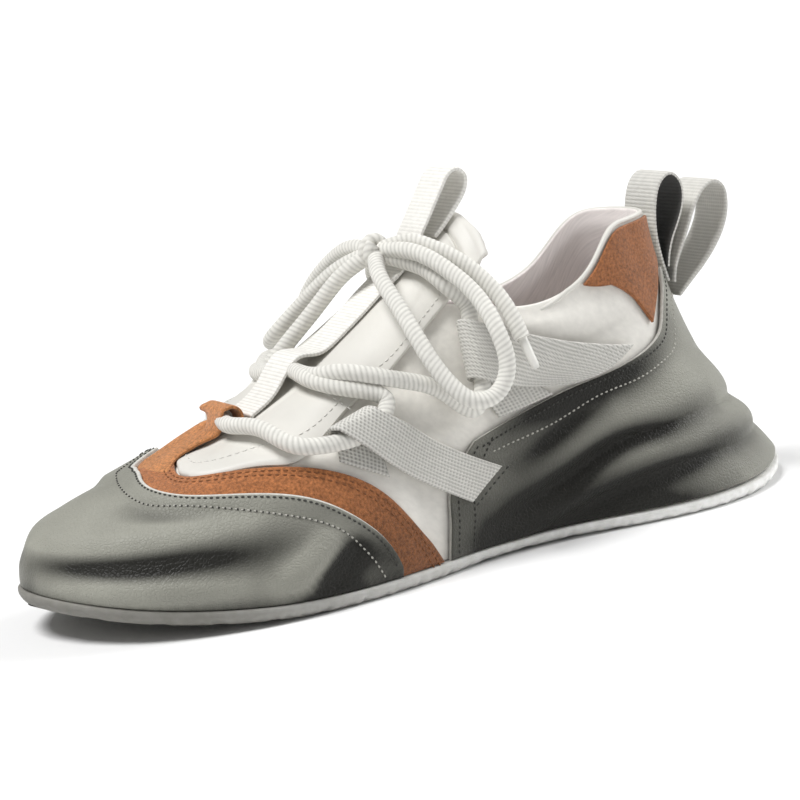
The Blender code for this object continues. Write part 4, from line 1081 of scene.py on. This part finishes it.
def weld(item):
    """Closes a loft whose end rings shrink to a line."""
    bm = bmesh.new()
    bm.from_mesh(item.data)
    bmesh.ops.remove_doubles(bm, verts=bm.verts, dist=2e-6)
    bmesh.ops.dissolve_degenerate(bm, edges=bm.edges, dist=1e-7)
    bmesh.ops.recalc_face_normals(bm, faces=bm.faces)
    bm.to_mesh(item.data)
    bm.free()
    item.data.shade_smooth()
    item.data.set_sharp_from_angle(angle=SHARP)


def build_insole():
    """Textile footbed that fills the flared heel up to the foot's seat."""
    turn = np.arccos(np.cos(np.radians(np.linspace(0, 180, 120))))
    seat = spline((0, 45, 90, 135, 180), (0.18, 0.17, 0.12, 0.075, 0.06), np.degrees(turn))
    lift = np.full_like(turn, -WALL - 0.6)
    middle = wall_at(turn, seat, lift) * 0.5 + wall_at(-turn, seat, lift) * 0.5
    ring = []
    for side in (1, -1):
        half = [wall_at(side * turn, share * seat, lift) for share in (0.0, 0.3, 0.6, 0.85, 1.0)]
        half[0][:, 2] = floor_rise(half[0][:, 0]) + SOLE_EDGE + GAP
        for share in (0.97, 0.92, 0.8, 0.65, 0.5, 0.35, 0.2):
            inner = middle * (1 - share) + half[4] * share
            inner[:, 2] -= 1.5 * np.sin(turn) * (1 - share**4)
            half.append(inner)
        ring.append(half)
    loop = np.stack(ring[0] + ring[1][::-1], 1)
    rows, columns = loop.shape[:2]
    quads, places = grid_quads(rows, columns, 0, ring=True)
    plan = np.concatenate([loop, loop[:, :1]], 1)[..., :2]
    item = write_mesh("insole_footbed", loop.reshape(-1, 3), quads, plan[places[..., 0], places[..., 1]],
                      np.zeros(len(quads)), np.zeros(rows * columns), [FINISHES["lining"]])
    weld(item)
    keep(item, "lining", "insole")


def build_upper():
    """Hollow upper: satin nylon outside, textile lining inside, rolled collar and throat edge."""
    turn = np.radians(np.linspace(0, 360, 361)[:-1])[None, :]
    signed = np.degrees(np.arctan2(np.sin(turn), np.cos(turn)))
    up = np.linspace(0, 1, 76)[:, None]
    relief = creases(QUARTER_CREASES, np.radians(signed), up)
    outer = wall_at(*np.broadcast_arrays(turn, up), relief * np.clip((1 - up) * 12, 0, 1))
    inside = np.linspace(1, 0, 40)[:, None]
    padding = 1.8 * np.clip(1 - np.abs(signed) / 105, 0, 1) * np.clip((inside - 0.45) * 4, 0, 1)
    padding = padding * np.clip((1 - inside) * 14, 0, 1)
    inner = wall_at(*np.broadcast_arrays(turn, inside), -WALL - padding)
    inner[-1, :, 2] = outer[0, :, 2]
    middle = (outer[-1] + inner[0]) / 2
    reach = (outer[-1] - inner[0]) / 2
    rise = outer[-1] - outer[-3]
    rise *= (np.linalg.norm(reach, axis=1) / np.linalg.norm(rise, axis=1))[:, None]
    rim = [middle + reach * math.cos(a) + rise * math.sin(a) for a in np.linspace(0, math.pi, 8)[1:-1]]
    loop = np.concatenate([outer, np.stack(rim), inner])
    rows, columns = loop.shape[:2]
    quads, places = grid_quads(rows, columns, 0, ring=True, closed=True)
    around = np.concatenate([loop, loop[:1]], 0)
    around = np.concatenate([around, around[:, :1]], 1)
    table = np.stack([run_length(around, 1), run_length(around, 0)], -1)
    slots = (places[:, 0, 0] >= len(outer) + 3).astype(int)
    # painted shade in the troughs of the quarter creases
    hollow = np.zeros((rows, columns))
    hollow[: len(outer)] = np.clip(-relief / 4, 0, 1)
    item = write_mesh("upper_quarters", loop.reshape(-1, 3), quads, table[places[..., 0], places[..., 1]],
                      slots, hollow, [FINISHES["white_nylon"], FINISHES["lining"]])
    keep(item, "white_nylon", "upper")
    degrees = np.linspace(-72, 72, 180)
    bead = wall_at(np.radians(degrees), np.ones(180), np.full(180, -0.3))
    bead[:, 2] += 0.5 - 2.2 * np.clip((np.abs(degrees) - 64) / 8, 0, 1)
    item = tubes("collar_piping", [tube(bead, 0.9, 14)], [FINISHES["white_leather"]])
    keep(item, "white_nylon")


def build_toe_wrap():
    """Grey leather round the toe, its cut edge lapped over the suede band."""
    band = band_edges(90)
    turn_lap, share_lap = across_band(band, TOE_LAP)
    share_lap += np.interp(turn_lap, *zip(*TOE_LOBE))
    start = np.linspace(0.012, 0.988, 260)
    place = np.linspace(0, 1, len(turn_lap))
    share, turn_lap, share_lap = (np.interp(start, place, line) for line in (band[1], turn_lap, share_lap))
    rows = steps(54, 60)[:, None]
    up = rows * share_lap[None, :]
    angle = np.radians(np.broadcast_to(turn_lap[None, :], up.shape))
    lap_mm = (up - share[None, :]) * SHARE_MM
    gap, relief = toe_lift(angle, up, lap_mm)
    # painted shade along the toe's troughs, darker towards the sole
    shade = creases(TOE_SHADES, angle, up) + 0.22 * np.clip((0.36 - up) / 0.3, 0, 1)
    rim = np.broadcast_to(rows > 1 - 1.3 / 60, up.shape)
    leather = [FINISHES["grey_leather"], FINISHES["leather_edge"]]
    item = panel("toe_wrap_leather", angle, up, gap, LEATHER, leather, relief, 0.7, (0, 0, 1), shade, rim)
    keep(item, "grey_leather", "toe_wrap")


def build_heel_wrap():
    """Grey leather round the heel with three sagging rolls and finer creases."""
    v = steps(76, 70)[:, None]
    u = (2 * steps(240, 260) - 1)[None, :]
    turn = np.radians(u * lookup(HEEL_FRONT_ROWS, 1, v))
    top = lookup(HEEL_TOP_ROWS, 1, np.abs(u) * HEEL_FRONT_ROWS[-1][1])
    up = v * top
    relief = heel_relief(turn, up)
    inner = wall_at(turn, up, np.full(up.shape, HEEL_GAP))
    near = edge_distance(inner)
    lift = HEEL_GAP + LEATHER * (0.7 + 0.3 * rounded(near, 0.7)) + relief
    outer = wall_at(turn, up, lift)
    # painted shade: darker along the valleys, on the side flank and the low front corner, less on the crests
    # of the flank
    degrees = np.degrees(np.abs(turn))
    flank = np.clip((degrees - 44) / 22, 0, 1)
    corner = np.clip((degrees - 50) / 22, 0, 1) * np.clip((0.42 - up) / 0.26, 0, 1)
    flank *= 1 - 0.7 * np.clip((degrees - 77) / 10, 0, 1)
    shade = creases(HEEL_SHADES, turn, up) + 0.6 * flank + 0.6 * corner
    shade -= 0.5 * np.clip(relief / 2.4, 0, 1) * flank
    rim = np.broadcast_to(v > 1 - 0.5 / 70, up.shape)
    item = solid("heel_wrap_leather", inner, outer, [FINISHES["grey_leather"], FINISHES["leather_edge"]],
                 shade, (0, 0, 1), rim=rim)
    keep(item, "grey_leather", "heel_wrap")


def build_suede():
    """Suede band round the throat, its lace loop and the two collar patches."""
    suede = [FINISHES["rust_suede"]]
    turn, up = across_band(band_edges(90), steps(16, 18)[:, None])
    # painted shade on the suede band, darker towards the sole
    shade = 0.8 * np.clip((0.46 - up) / 0.3, 0, 1)
    item = panel("suede_band_throat", np.radians(turn), up, PANEL_GAP, SUEDE, suede, 0.0, 0.8, shade=shade)
    keep(item, "rust_suede", "suede_band")
    knots = np.array(PATCH_ROWS)
    turns = np.sort(np.concatenate([knots[:, 0], np.linspace(knots[0, 0], knots[-1, 0], 90)]))
    low = np.interp(turns, knots[:, 0], knots[:, 1])[None, :] + 0.012
    v = steps(36, 32)[:, None]
    up = low * (1 - v) + 0.985 * v
    for side_name, side in SIDES:
        angle = side * np.radians(np.broadcast_to(turns[None, :], up.shape))
        # painted shade over the whole collar patch
        item = panel(f"suede_patch_{side_name}", angle, up, PANEL_GAP, SUEDE, suede, 0.0, 0.8, shade=0.4)
        keep(item, "rust_suede", f"collar_patch_{side_name}")
    side = np.linspace(-1, 1, 41)
    rows = []
    for height, outer_edge, inner_edge, lift in LOOP_ROWS:
        degrees = (outer_edge + inner_edge) / 2 - (inner_edge - outer_edge) / 2 * side
        raised = lift + 1.2 * np.clip(-side, 0, 1) * (height < 0.93)
        rows.append(wall_at(np.radians(degrees), np.full(41, height), raised))
    radius = LACE / 2 + 0.5 + SUEDE / 2
    for angle in np.radians((35, 65, 95, 125, 155, 185, 215)):
        x = THROAT_LACE[0] + radius * math.cos(angle)
        z = THROAT_LACE[1] + radius * math.sin(angle)
        rows.append(np.stack([np.full(41, x), STRIP_HALF * side, np.full(41, z)], -1))
    middle = refine(np.stack(rows), 90, 41)
    # the lace loop gets the lighter suede copy, painted light
    item = web_solid("suede_lace_loop", middle, SUEDE, 0.0, [FINISHES["loop_suede"]])
    keep(item, "rust_suede", "throat_loop")


def tongue_grid():
    """Fine inner face of the tongue, its outward normals and its thickness at the coarse rows."""
    coarse, _, thickness = tongue_faces()
    inner = refine(coarse, *TONGUE_GRID)
    normal = normals(inner)
    if normal[TONGUE_GRID[0] // 2, TONGUE_GRID[1] // 2, 2] < 0:
        normal = -normal
    return inner, normal, thickness


def build_tongue():
    """White leather tongue over the throat's edges, padded at its top."""
    inner, normal, thickness = tongue_grid()
    place = np.linspace(0, len(thickness) - 1, TONGUE_GRID[0])
    thick = np.interp(place, range(len(thickness)), thickness)[:, None]
    flap = np.clip((np.abs(np.linspace(-1, 1, TONGUE_GRID[1])) - 0.35) / 0.3, 0, 1)[None, :]
    thick = thick - 0.7 * flap * (thick < 2.4)
    thick = thick - 1.1 * np.exp(-(((place - len(thickness) + 3.1) / 0.16) ** 2))[:, None]
    near = edge_distance(inner)
    outer = inner + normal * (thick * (0.35 + 0.65 * rounded(near, 1.4)))[..., None]
    item = solid("tongue_leather", inner, outer, [FINISHES["white_leather"], FINISHES["lining"]])
    keep(item, "white_leather", "tongue")


def waffle(u, v, pitch):
    """Woven check, 1 on the floats and 0 in the pits between them."""
    return 1 - (np.abs(np.cos(math.pi * u / pitch)) * np.abs(np.cos(math.pi * v / pitch))) ** 1.3


def cross_ribs(u, v, pitch):
    """Ribs across the band, 1 on their tops and 0 between them."""
    return np.abs(np.sin(math.pi * v / pitch)) ** 0.7 * (0.85 + 0.15 * np.abs(np.sin(math.pi * u / 0.9)))


def web_solid(name, middle, thickness, ribs, materials, sides=(0, 0, 0), weave_of=waffle, pitch=1.45,
              pits=0.8):
    """Band of webbing about a middle surface, with woven ribs on both faces."""
    normal = normals(middle)
    u = run_length(middle, 1)
    v = run_length(middle, 0)
    near = edge_distance(middle)
    weave = ribs * weave_of(u, v, pitch) if ribs else np.zeros(u.shape)
    half = thickness / 2 * (0.55 + 0.45 * rounded(near, 0.8))
    face = half - ribs + weave
    # painted shade in the pits of the weave
    hollow = np.clip(1 - weave / ribs, 0, 1) * pits if ribs else None
    low, high = middle - normal * face[..., None], middle + normal * face[..., None]
    return solid(name, low, high, materials, hollow, sides)


def ribbon(name, route, thickness, half_width, materials, ribs=0.22, sides=(0, 0, 0), **weave):
    """Band of webbing or suede whose side view follows a route in the middle plane."""
    line = smooth_route(route, 0.35)
    y = half_width * np.linspace(-1, 1, 45)
    size = (len(line), len(y))
    points = np.stack([np.broadcast_to(part, size) for part in (line[:, :1], y[None, :], line[:, 1:])], -1)
    return web_solid(name, points, thickness, ribs, materials, sides, **weave)


def build_webbing():
    """Straps on both sides, the strip with its pull tab and the two heel loops."""
    web = [FINISHES["white_webbing"]]
    pale = [FINISHES["pale_webbing"]]
    for name in STRAP_ROWS:
        for side_name, side in SIDES:
            middle = refine(strap_rows(name, side), *STRAP_GRID)
            item = web_solid(f"{name}_webbing_{side_name}", middle, STRAP + 0.3, 0.3, web)
            keep(item, "white_webbing", f"{name}_{side_name}")
    line = smooth_route(tongue_crest(GAP + WEBBING / 2), 1.5)
    line[:, 1] += (LACE + 0.8) * np.exp(-(((line[:, 0] - CROSSING_X) / 8.0) ** 2))
    kept = (line[:, 0] < 220) & (line[:, 0] > 150)
    item = ribbon("tongue_strip_webbing", [*line[kept], *TAB_ROUTE, *TAB_TAIL], WEBBING, STRIP_HALF, pale,
                  ribs=0.14, weave_of=cross_ribs, pitch=1.4, pits=0.35)
    keep(item, "white_webbing", "tongue_strip")
    both = [FINISHES["white_webbing"], FINISHES["dark_webbing"]]
    route = [(41.6, 79.5), *INNER_LOOP_ROUTE, (41.2, 85.0)]
    item = ribbon("heel_loop_webbing_front", route, WEBBING, HEEL_LOOP_HALF, both, sides=(0, 1, 0),
                  weave_of=cross_ribs, pitch=1.4, pits=0.5)
    keep(item, "white_webbing", "heel_loop_front")
    item = ribbon("heel_loop_webbing_rear", OUTER_LOOP_ROUTE, WEBBING, HEEL_LOOP_HALF, web, pitch=1.4,
                  pits=0.45)
    keep(item, "white_webbing", "heel_loop_rear")


def rope(route, squeeze=1.0):
    """Twisted rope along a route."""
    radius = bpy.context.scene.shoe_sizes.lace_diameter * 500 * squeeze
    return tube(smooth_route(route, 0.4), radius, 22, ribs=3, rib_pitch=1.8, rib_depth=0.05)


def build_lace():
    """Rope lace: bars through the loops, knot, bow and ends with their tips."""
    cord = [FINISHES["lace_cord"]]
    bars = [rope([*lace_route(side), knot_end(lace_route(side)[-2])]) for side in (1, -1)]
    keep(tubes("lace_rope_bars", bars, cord), "lace_cord", "lace_bars")
    turns = np.linspace(-0.2, 1.15, 30) * 2 * math.pi
    wrap = KNOT + np.stack([3.2 * np.cos(turns), np.linspace(-2.6, 2.8, 30), 4.0 * np.sin(turns)], -1)
    knot = tubes("lace_rope_knot", [rope(wrap, 0.88)], cord)
    keep(knot, "lace_cord", "lace_knot")
    for side_name, route in (("outer", OUTER_BOW), ("inner", INNER_BOW)):
        full = [knot_end(route[0]), *route, knot_end(route[-1])]
        declare_rope(f"lace_rope_bow_{side_name}", full, f"bow_{side_name}")
    for side_name, route in (("outer", OUTER_END), ("inner", INNER_END)):
        places = smooth_route([knot_side(route[0]), *route], 8.0)
        way = (places[-1] - places[-2]) / np.linalg.norm(places[-1] - places[-2])
        length = np.linspace(0, 1, 24)[:, None]
        line = places[-1] + way * (GAP - 2.0 + (TIP_LENGTH + 2.0) * length)
        taper = np.interp(length[:, 0], (0, 0.06, 0.8, 0.95, 1), (1.12, 1.06, 1.0, 0.9, 0.6))
        sheath = tube(line, TIP_RADIUS * 0.65, 24, taper=taper)
        tip = tubes(f"lace_tip_sheath_{side_name}", [sheath], [FINISHES["lace_tip"]])
        keep(tip, "white_leather", f"lace_tip_{side_name}")
        declare_rope(f"lace_rope_end_{side_name}", [knot_end(route[0]), *route], f"lace_end_{side_name}")


def declare_rope(name, route, node):
    """One free stretch of the lace, made and declared as a cord."""
    line = smooth_route(route, 0.5)
    item = tubes(name, [rope(route)], [FINISHES["lace_cord"]])
    keep(item, "lace_cord", node)


# Stitches


def stitch_tree():
    """Geometry nodes that lay one stitch after another along the edges of a mesh."""
    tree = bpy.data.node_groups.new("Stitch Row", "GeometryNodeTree")
    tree.interface.new_socket("Geometry", in_out="INPUT", socket_type="NodeSocketGeometry")
    sockets = {}
    for label, kind in (("Pitch", "Float"), ("Length", "Float"), ("Width", "Float"), ("Thread", "Material")):
        socket = tree.interface.new_socket(label, in_out="INPUT", socket_type=f"NodeSocket{kind}")
        sockets[label] = socket.identifier
    tree.interface.new_socket("Geometry", in_out="OUTPUT", socket_type="NodeSocketGeometry")
    nodes = Tree(tree)
    given = nodes.add("NodeGroupInput").outputs
    curve = nodes.add("GeometryNodeMeshToCurve", Mesh=given["Geometry"])
    even = nodes.add("GeometryNodeResampleCurve", set_mode="LENGTH", Curve=curve.outputs[0],
                     Length=given["Pitch"])
    bead = nodes.add("GeometryNodeMeshUVSphere", Segments=6, Rings=5, Radius=0.5)
    size = nodes.add("ShaderNodeCombineXYZ", X=given["Length"], Y=given["Width"], Z=given["Width"])
    turn = nodes.add("FunctionNodeAlignRotationToVector", set_axis="X",
                     Vector=nodes.add("GeometryNodeInputTangent").outputs[0])
    laid = nodes.add("GeometryNodeInstanceOnPoints", Points=even.outputs[0], Instance=bead.outputs[0],
                     Rotation=turn.outputs[0], Scale=size.outputs[0])
    real = nodes.add("GeometryNodeRealizeInstances", Geometry=laid.outputs[0])
    smooth = nodes.add("GeometryNodeSetShadeSmooth", Geometry=real.outputs[0])
    thread = nodes.add("GeometryNodeSetMaterial", Geometry=smooth.outputs[0], Material=given["Thread"])
    nodes.add("NodeGroupOutput", Geometry=thread.outputs[0])
    return tree, sockets


def stitch_rows(name, lines, material, slot, pitch, length, width):
    """One mesh of stitches along several lines of points."""
    mesh = bpy.data.meshes.new(name)
    points = np.concatenate(lines)
    edges = []
    start = 0
    for line in lines:
        edges += [(start + k, start + k + 1) for k in range(len(line) - 1)]
        start += len(line)
    mesh.from_pydata(to_row(points).tolist(), edges, [])
    item = bpy.data.objects.new(name, mesh)
    bpy.context.scene.collection.objects.link(item)
    tree, sockets = stitch_tree()
    modifier = item.modifiers.new("Stitches", "NODES")
    modifier.node_group = tree
    for label, value in (("Pitch", pitch * 0.001), ("Length", length * 0.001), ("Width", width * 0.001)):
        modifier[sockets[label]] = value
    modifier[sockets["Thread"]] = FINISHES[material]
    bpy.context.view_layer.update()
    made = bpy.data.meshes.new_from_object(item.evaluated_get(bpy.context.evaluated_depsgraph_get()))
    item.modifiers.remove(modifier)
    item.data = made
    keep(item, slot)


def on_wall(degrees, share, lift):
    """Line of points on the wall, lifted."""
    degrees, share = np.asarray(degrees, float), np.asarray(share, float)
    return wall_at(np.radians(degrees), share, np.broadcast_to(lift, degrees.shape))


def build_stitches():
    """Stitch lines along the panels' edges."""
    band = band_edges(160)
    degrees, height = across_band(band, -0.03)
    height = height + np.interp(degrees, *zip(*TOE_LOBE))
    dark = [on_wall(degrees, height, PANEL_GAP + LEATHER + SUEDE + 0.3)[6:-6]]
    u = np.linspace(-1, 1, 260)
    front = HEEL_FRONT_ROWS[-1][1]
    edge = lookup(HEEL_TOP_ROWS, 1, np.abs(u) * front) - 0.024
    folds = heel_relief(np.radians(u * front), edge)
    dark.append(on_wall(u * front * 0.985, edge, HEEL_GAP + LEATHER + folds))
    v = np.linspace(0.04, 0.93, 60)
    for inset in (1.3, 4.0):
        for side in (1, -1):
            degrees = lookup(HEEL_FRONT_ROWS, 1, v) - inset
            height = v * lookup(HEEL_TOP_ROWS, 1, degrees)
            folds = heel_relief(np.radians(side * degrees), height)
            dark.append(on_wall(side * degrees, height, HEEL_GAP + LEATHER + folds))
    stitch_rows("stitches_leather", dark, "dark_thread", "grey_leather", 2.1, 1.4, 0.75)
    toe = smooth_route(TOE_ROW, 1.0)
    past = (toe[:, 1] - np.interp(toe[:, 0], band[0], band[1])) * SHARE_MM
    gap, folds = toe_lift(np.radians(toe[:, 0]), toe[:, 1], past)
    line = on_wall(toe[:, 0], toe[:, 1], gap + LEATHER + 0.15 + folds)
    # dark beads between the pale stitches: painted shadow of the stitch holes
    stitch_rows("stitch_holes_toe", [line[1:]], "dark_thread", "grey_leather", 2.1, 0.9, 0.7)
    pale = [line]
    heel = smooth_route([*HEEL_ROW, *((-a, b) for a, b in HEEL_ROW[-2::-1])], 1.0)
    folds = heel_relief(np.radians(heel[:, 0]), heel[:, 1])
    pale.append(on_wall(heel[:, 0], heel[:, 1], HEEL_GAP + LEATHER + folds))
    stitch_rows("stitches_second_row", pale, "grey_thread", "grey_leather", 2.1, 1.3, 0.7)
    brown = [on_wall(*across_band(band, away), PANEL_GAP + SUEDE) for away in (0.86, 0.72)]
    stitch_rows("stitches_suede", brown, "brown_thread", "rust_suede", 2.6, 1.8, 0.65)
    inner, normal, _ = tongue_grid()
    white = [(inner + normal * 1.35)[4:100, j] for j in (8, 122)]
    seam = on_wall(np.linspace(124, 113.4, 40), np.linspace(0.879, 0.666, 40), PANEL_GAP + 1.4)
    stitch_rows("stitches_tongue", [*white, seam], "white_thread", "white_leather", 2.8, 1.9, 0.6)
    tips = []
    for side in (1, -1):
        middle = refine(strap_rows("front_strap", side), *STRAP_GRID)
        way = middle[-1] - middle[-4]
        end = middle[-1] + way / np.linalg.norm(way, axis=-1)[:, None] * 2.0
        tips.append(end - normals(middle)[-1] * side * 0.9)
    stitch_rows("stitches_strap", tips, "dark_thread", "grey_leather", 2.3, 1.6, 0.7)


# Stage


def build_stage():
    """Camera at the photograph's angle, pale floor and soft studio light."""
    stage = bpy.context.scene.shoe_stage
    azimuth, elevation, roll = (math.radians(v) for v in CAMERA_ANGLES)
    back = np.array([math.sin(azimuth) * math.cos(elevation), -math.cos(azimuth) * math.cos(elevation),
                     math.sin(elevation)])
    right = np.cross(-back, (0, 0, 1))
    right /= np.linalg.norm(right)
    up = np.cross(right, -back)
    level = right * math.cos(roll) - up * math.sin(roll)
    upright = right * math.sin(roll) + up * math.cos(roll)
    place = to_row(CAMERA_AIM + back * CAMERA_AWAY)
    data = bpy.data.cameras.new("photo_camera")
    data.sensor_width = 36.0
    data.lens = CAMERA_LENS
    data.shift_x, data.shift_y = (pixels / PICTURE for pixels in CAMERA_SHIFT)
    data.clip_start = 0.01
    camera = bpy.data.objects.new("photo_camera", data)
    axes = np.column_stack([level, upright, back, place])
    camera.matrix_world = Matrix([*axes.tolist(), [0, 0, 0, 1]])
    bpy.context.scene.collection.objects.link(camera)
    bpy.context.scene.camera = camera
    mesh = bpy.data.meshes.new("floor")
    size = 30.0
    corners = [(-size, -size, 0), (size, -size, 0), (size, size, 0), (-size, size, 0)]
    mesh.from_pydata(corners, [], [(0, 1, 2, 3)])
    floor = bpy.data.objects.new("floor", mesh)
    paint = bpy.data.materials.new("floor_paint")
    paint.use_nodes = True
    shader = paint.node_tree.nodes["Principled BSDF"]
    shader.inputs["Base Color"].default_value = (*stage.floor_colour, 1)
    shader.inputs["Roughness"].default_value = 0.9
    mesh.materials.append(paint)
    bpy.context.scene.collection.objects.link(floor)
    world = bpy.data.worlds.new("studio")
    world.use_nodes = True
    world.node_tree.nodes["Background"].inputs["Color"].default_value = (1, 1, 1, 1)
    world.node_tree.nodes["Background"].inputs["Strength"].default_value = stage.sky_strength
    bpy.context.scene.world = world
    for name, part, softness, spot in SUNS:
        light = bpy.data.lights.new(name, "SUN")
        light.energy = stage.key_power * part
        light.angle = math.radians(softness)
        lamp = bpy.data.objects.new(name, light)
        away = np.array(spot) / np.linalg.norm(spot)
        side = np.cross((0, 0, 1), away)
        side /= np.linalg.norm(side)
        axes = np.column_stack([side, np.cross(away, side), away, spot])
        lamp.matrix_world = Matrix([*axes.tolist(), [0, 0, 0, 1]])
        bpy.context.scene.collection.objects.link(lamp)
    bpy.context.scene.view_settings.view_transform = "Standard"


# Settings, operators and panel


class ShoeSizes(bpy.types.PropertyGroup):
    """Sizes that a user would change."""

    lace_diameter: FloatProperty(name="Lace diameter", description="Thickness of the rope lace",
                                 default=LACE * 0.001, min=0.003, max=0.009, subtype="DISTANCE",
                                 unit="LENGTH")


def colour(name, description, default):
    """Colour setting."""
    return FloatVectorProperty(name=name, description=description, default=default, size=3, min=0.0, max=1.0,
                               subtype="COLOR")


class ShoeColours(bpy.types.PropertyGroup):
    """Colours of the shoe's finishes."""

    grey_leather: colour("Grey leather", "Toe and heel wrap", (0.30, 0.298, 0.258))
    leather_edge: colour("Leather edge", "Cut edge of the leather", (0.60, 0.59, 0.55))
    rust_suede: colour("Rust suede", "Throat band and collar patches", (0.42, 0.158, 0.056))
    white_nylon: colour("White nylon", "Quarters", (0.80, 0.779, 0.727))
    white_leather: colour("White leather", "Tongue", (0.70, 0.684, 0.638))
    white_webbing: colour("White webbing", "Straps and heel loops", (0.70, 0.688, 0.648))
    pale_webbing: colour("Pale webbing", "Tongue strip and pull tab", (0.90, 0.885, 0.84))
    # lighter copy of the rust suede: painted light on the lace loop
    loop_suede: colour("Loop suede", "Lace loop at the throat", (0.55, 0.235, 0.088))
    dark_webbing: colour("Dark webbing", "Inside of the front heel loop", (0.10, 0.10, 0.095))
    lace_cord: colour("Lace", "Rope lace", (0.80, 0.787, 0.737))
    grey_rubber: colour("Grey rubber", "Sole", (0.92, 0.92, 0.88))
    lining: colour("Lining", "Textile inside the shoe", (0.86, 0.80, 0.775))
    lace_tip: colour("Lace tip", "Sheath on the lace's ends", (0.78, 0.77, 0.73))
    dark_thread: colour("Dark thread", "Stitches on the leather", (0.04, 0.04, 0.035))
    brown_thread: colour("Brown thread", "Stitches on the suede", (0.20, 0.075, 0.025))
    grey_thread: colour("Grey thread", "Second stitch row on the leather", (0.42, 0.41, 0.37))
    white_thread: colour("White thread", "Stitches on the tongue", (0.70, 0.69, 0.65))


class ShoeStage(bpy.types.PropertyGroup):
    """Floor and light."""

    floor_colour: colour("Floor", "Colour of the plain floor", (0.85, 0.85, 0.85))
    sky_strength: FloatProperty(name="Sky", description="Strength of the even light", default=0.24, min=0.0)
    key_power: FloatProperty(name="Key light", description="Strength of the main lamp", default=3.1, min=0.0)


def shoe_operator(idname, label, builder):
    """Operator class that runs one builder."""

    def execute(self, context):
        builder()
        return {"FINISHED"}

    return type(f"SHOE_OT_{idname}", (bpy.types.Operator,), {
        "bl_idname": f"shoe.{idname}", "bl_label": label, "__doc__": builder.__doc__, "execute": execute})


OPERATORS = [
    shoe_operator("stage", "Camera, floor and light", build_stage),
    shoe_operator("finishes", "Finishes", make_finishes),
    shoe_operator("lace", "Lace", build_lace),
    shoe_operator("outsole", "Outsole", build_outsole),
    shoe_operator("insole", "Insole", build_insole),
    shoe_operator("upper", "Upper", build_upper),
    shoe_operator("toe_wrap", "Toe wrap", build_toe_wrap),
    shoe_operator("heel_wrap", "Heel wrap", build_heel_wrap),
    shoe_operator("suede", "Suede", build_suede),
    shoe_operator("tongue", "Tongue", build_tongue),
    shoe_operator("webbing", "Webbing", build_webbing),
    shoe_operator("stitches", "Stitches", build_stitches),
]


class SHOE_PT_pieces(bpy.types.Panel):
    """Lists the shoe's settings and pieces."""

    bl_label = "Casual Shoe"
    bl_idname = "SHOE_PT_pieces"
    bl_space_type = "VIEW_3D"
    bl_region_type = "UI"
    bl_category = "Shoe"

    def draw(self, context):
        layout = self.layout
        layout.prop(context.scene.shoe_sizes, "lace_diameter")
        for name in ShoeColours.__annotations__:
            layout.prop(context.scene.shoe_colours, name)
        for name in ShoeStage.__annotations__:
            layout.prop(context.scene.shoe_stage, name)
        for operator in OPERATORS:
            layout.operator(operator.bl_idname)


SETTINGS = (("shoe_sizes", ShoeSizes), ("shoe_colours", ShoeColours), ("shoe_stage", ShoeStage))


def register():
    """Adds the settings, operators and panel."""
    for name, group in SETTINGS:
        bpy.utils.register_class(group)
        setattr(bpy.types.Scene, name, PointerProperty(type=group))
    for made in (*OPERATORS, SHOE_PT_pieces):
        bpy.utils.register_class(made)


def unregister():
    """Takes the settings, operators and panel away again."""
    for made in (SHOE_PT_pieces, *reversed(OPERATORS)):
        bpy.utils.unregister_class(made)
    for name, group in reversed(SETTINGS):
        delattr(bpy.types.Scene, name)
        bpy.utils.unregister_class(group)


def main():
    """Builds every piece in order and notes the sizes."""
    register()
    for operator in OPERATORS:
        name = operator.bl_idname.split(".")[1]
        getattr(bpy.ops.shoe, name)()


if __name__ == "__main__":
    main()
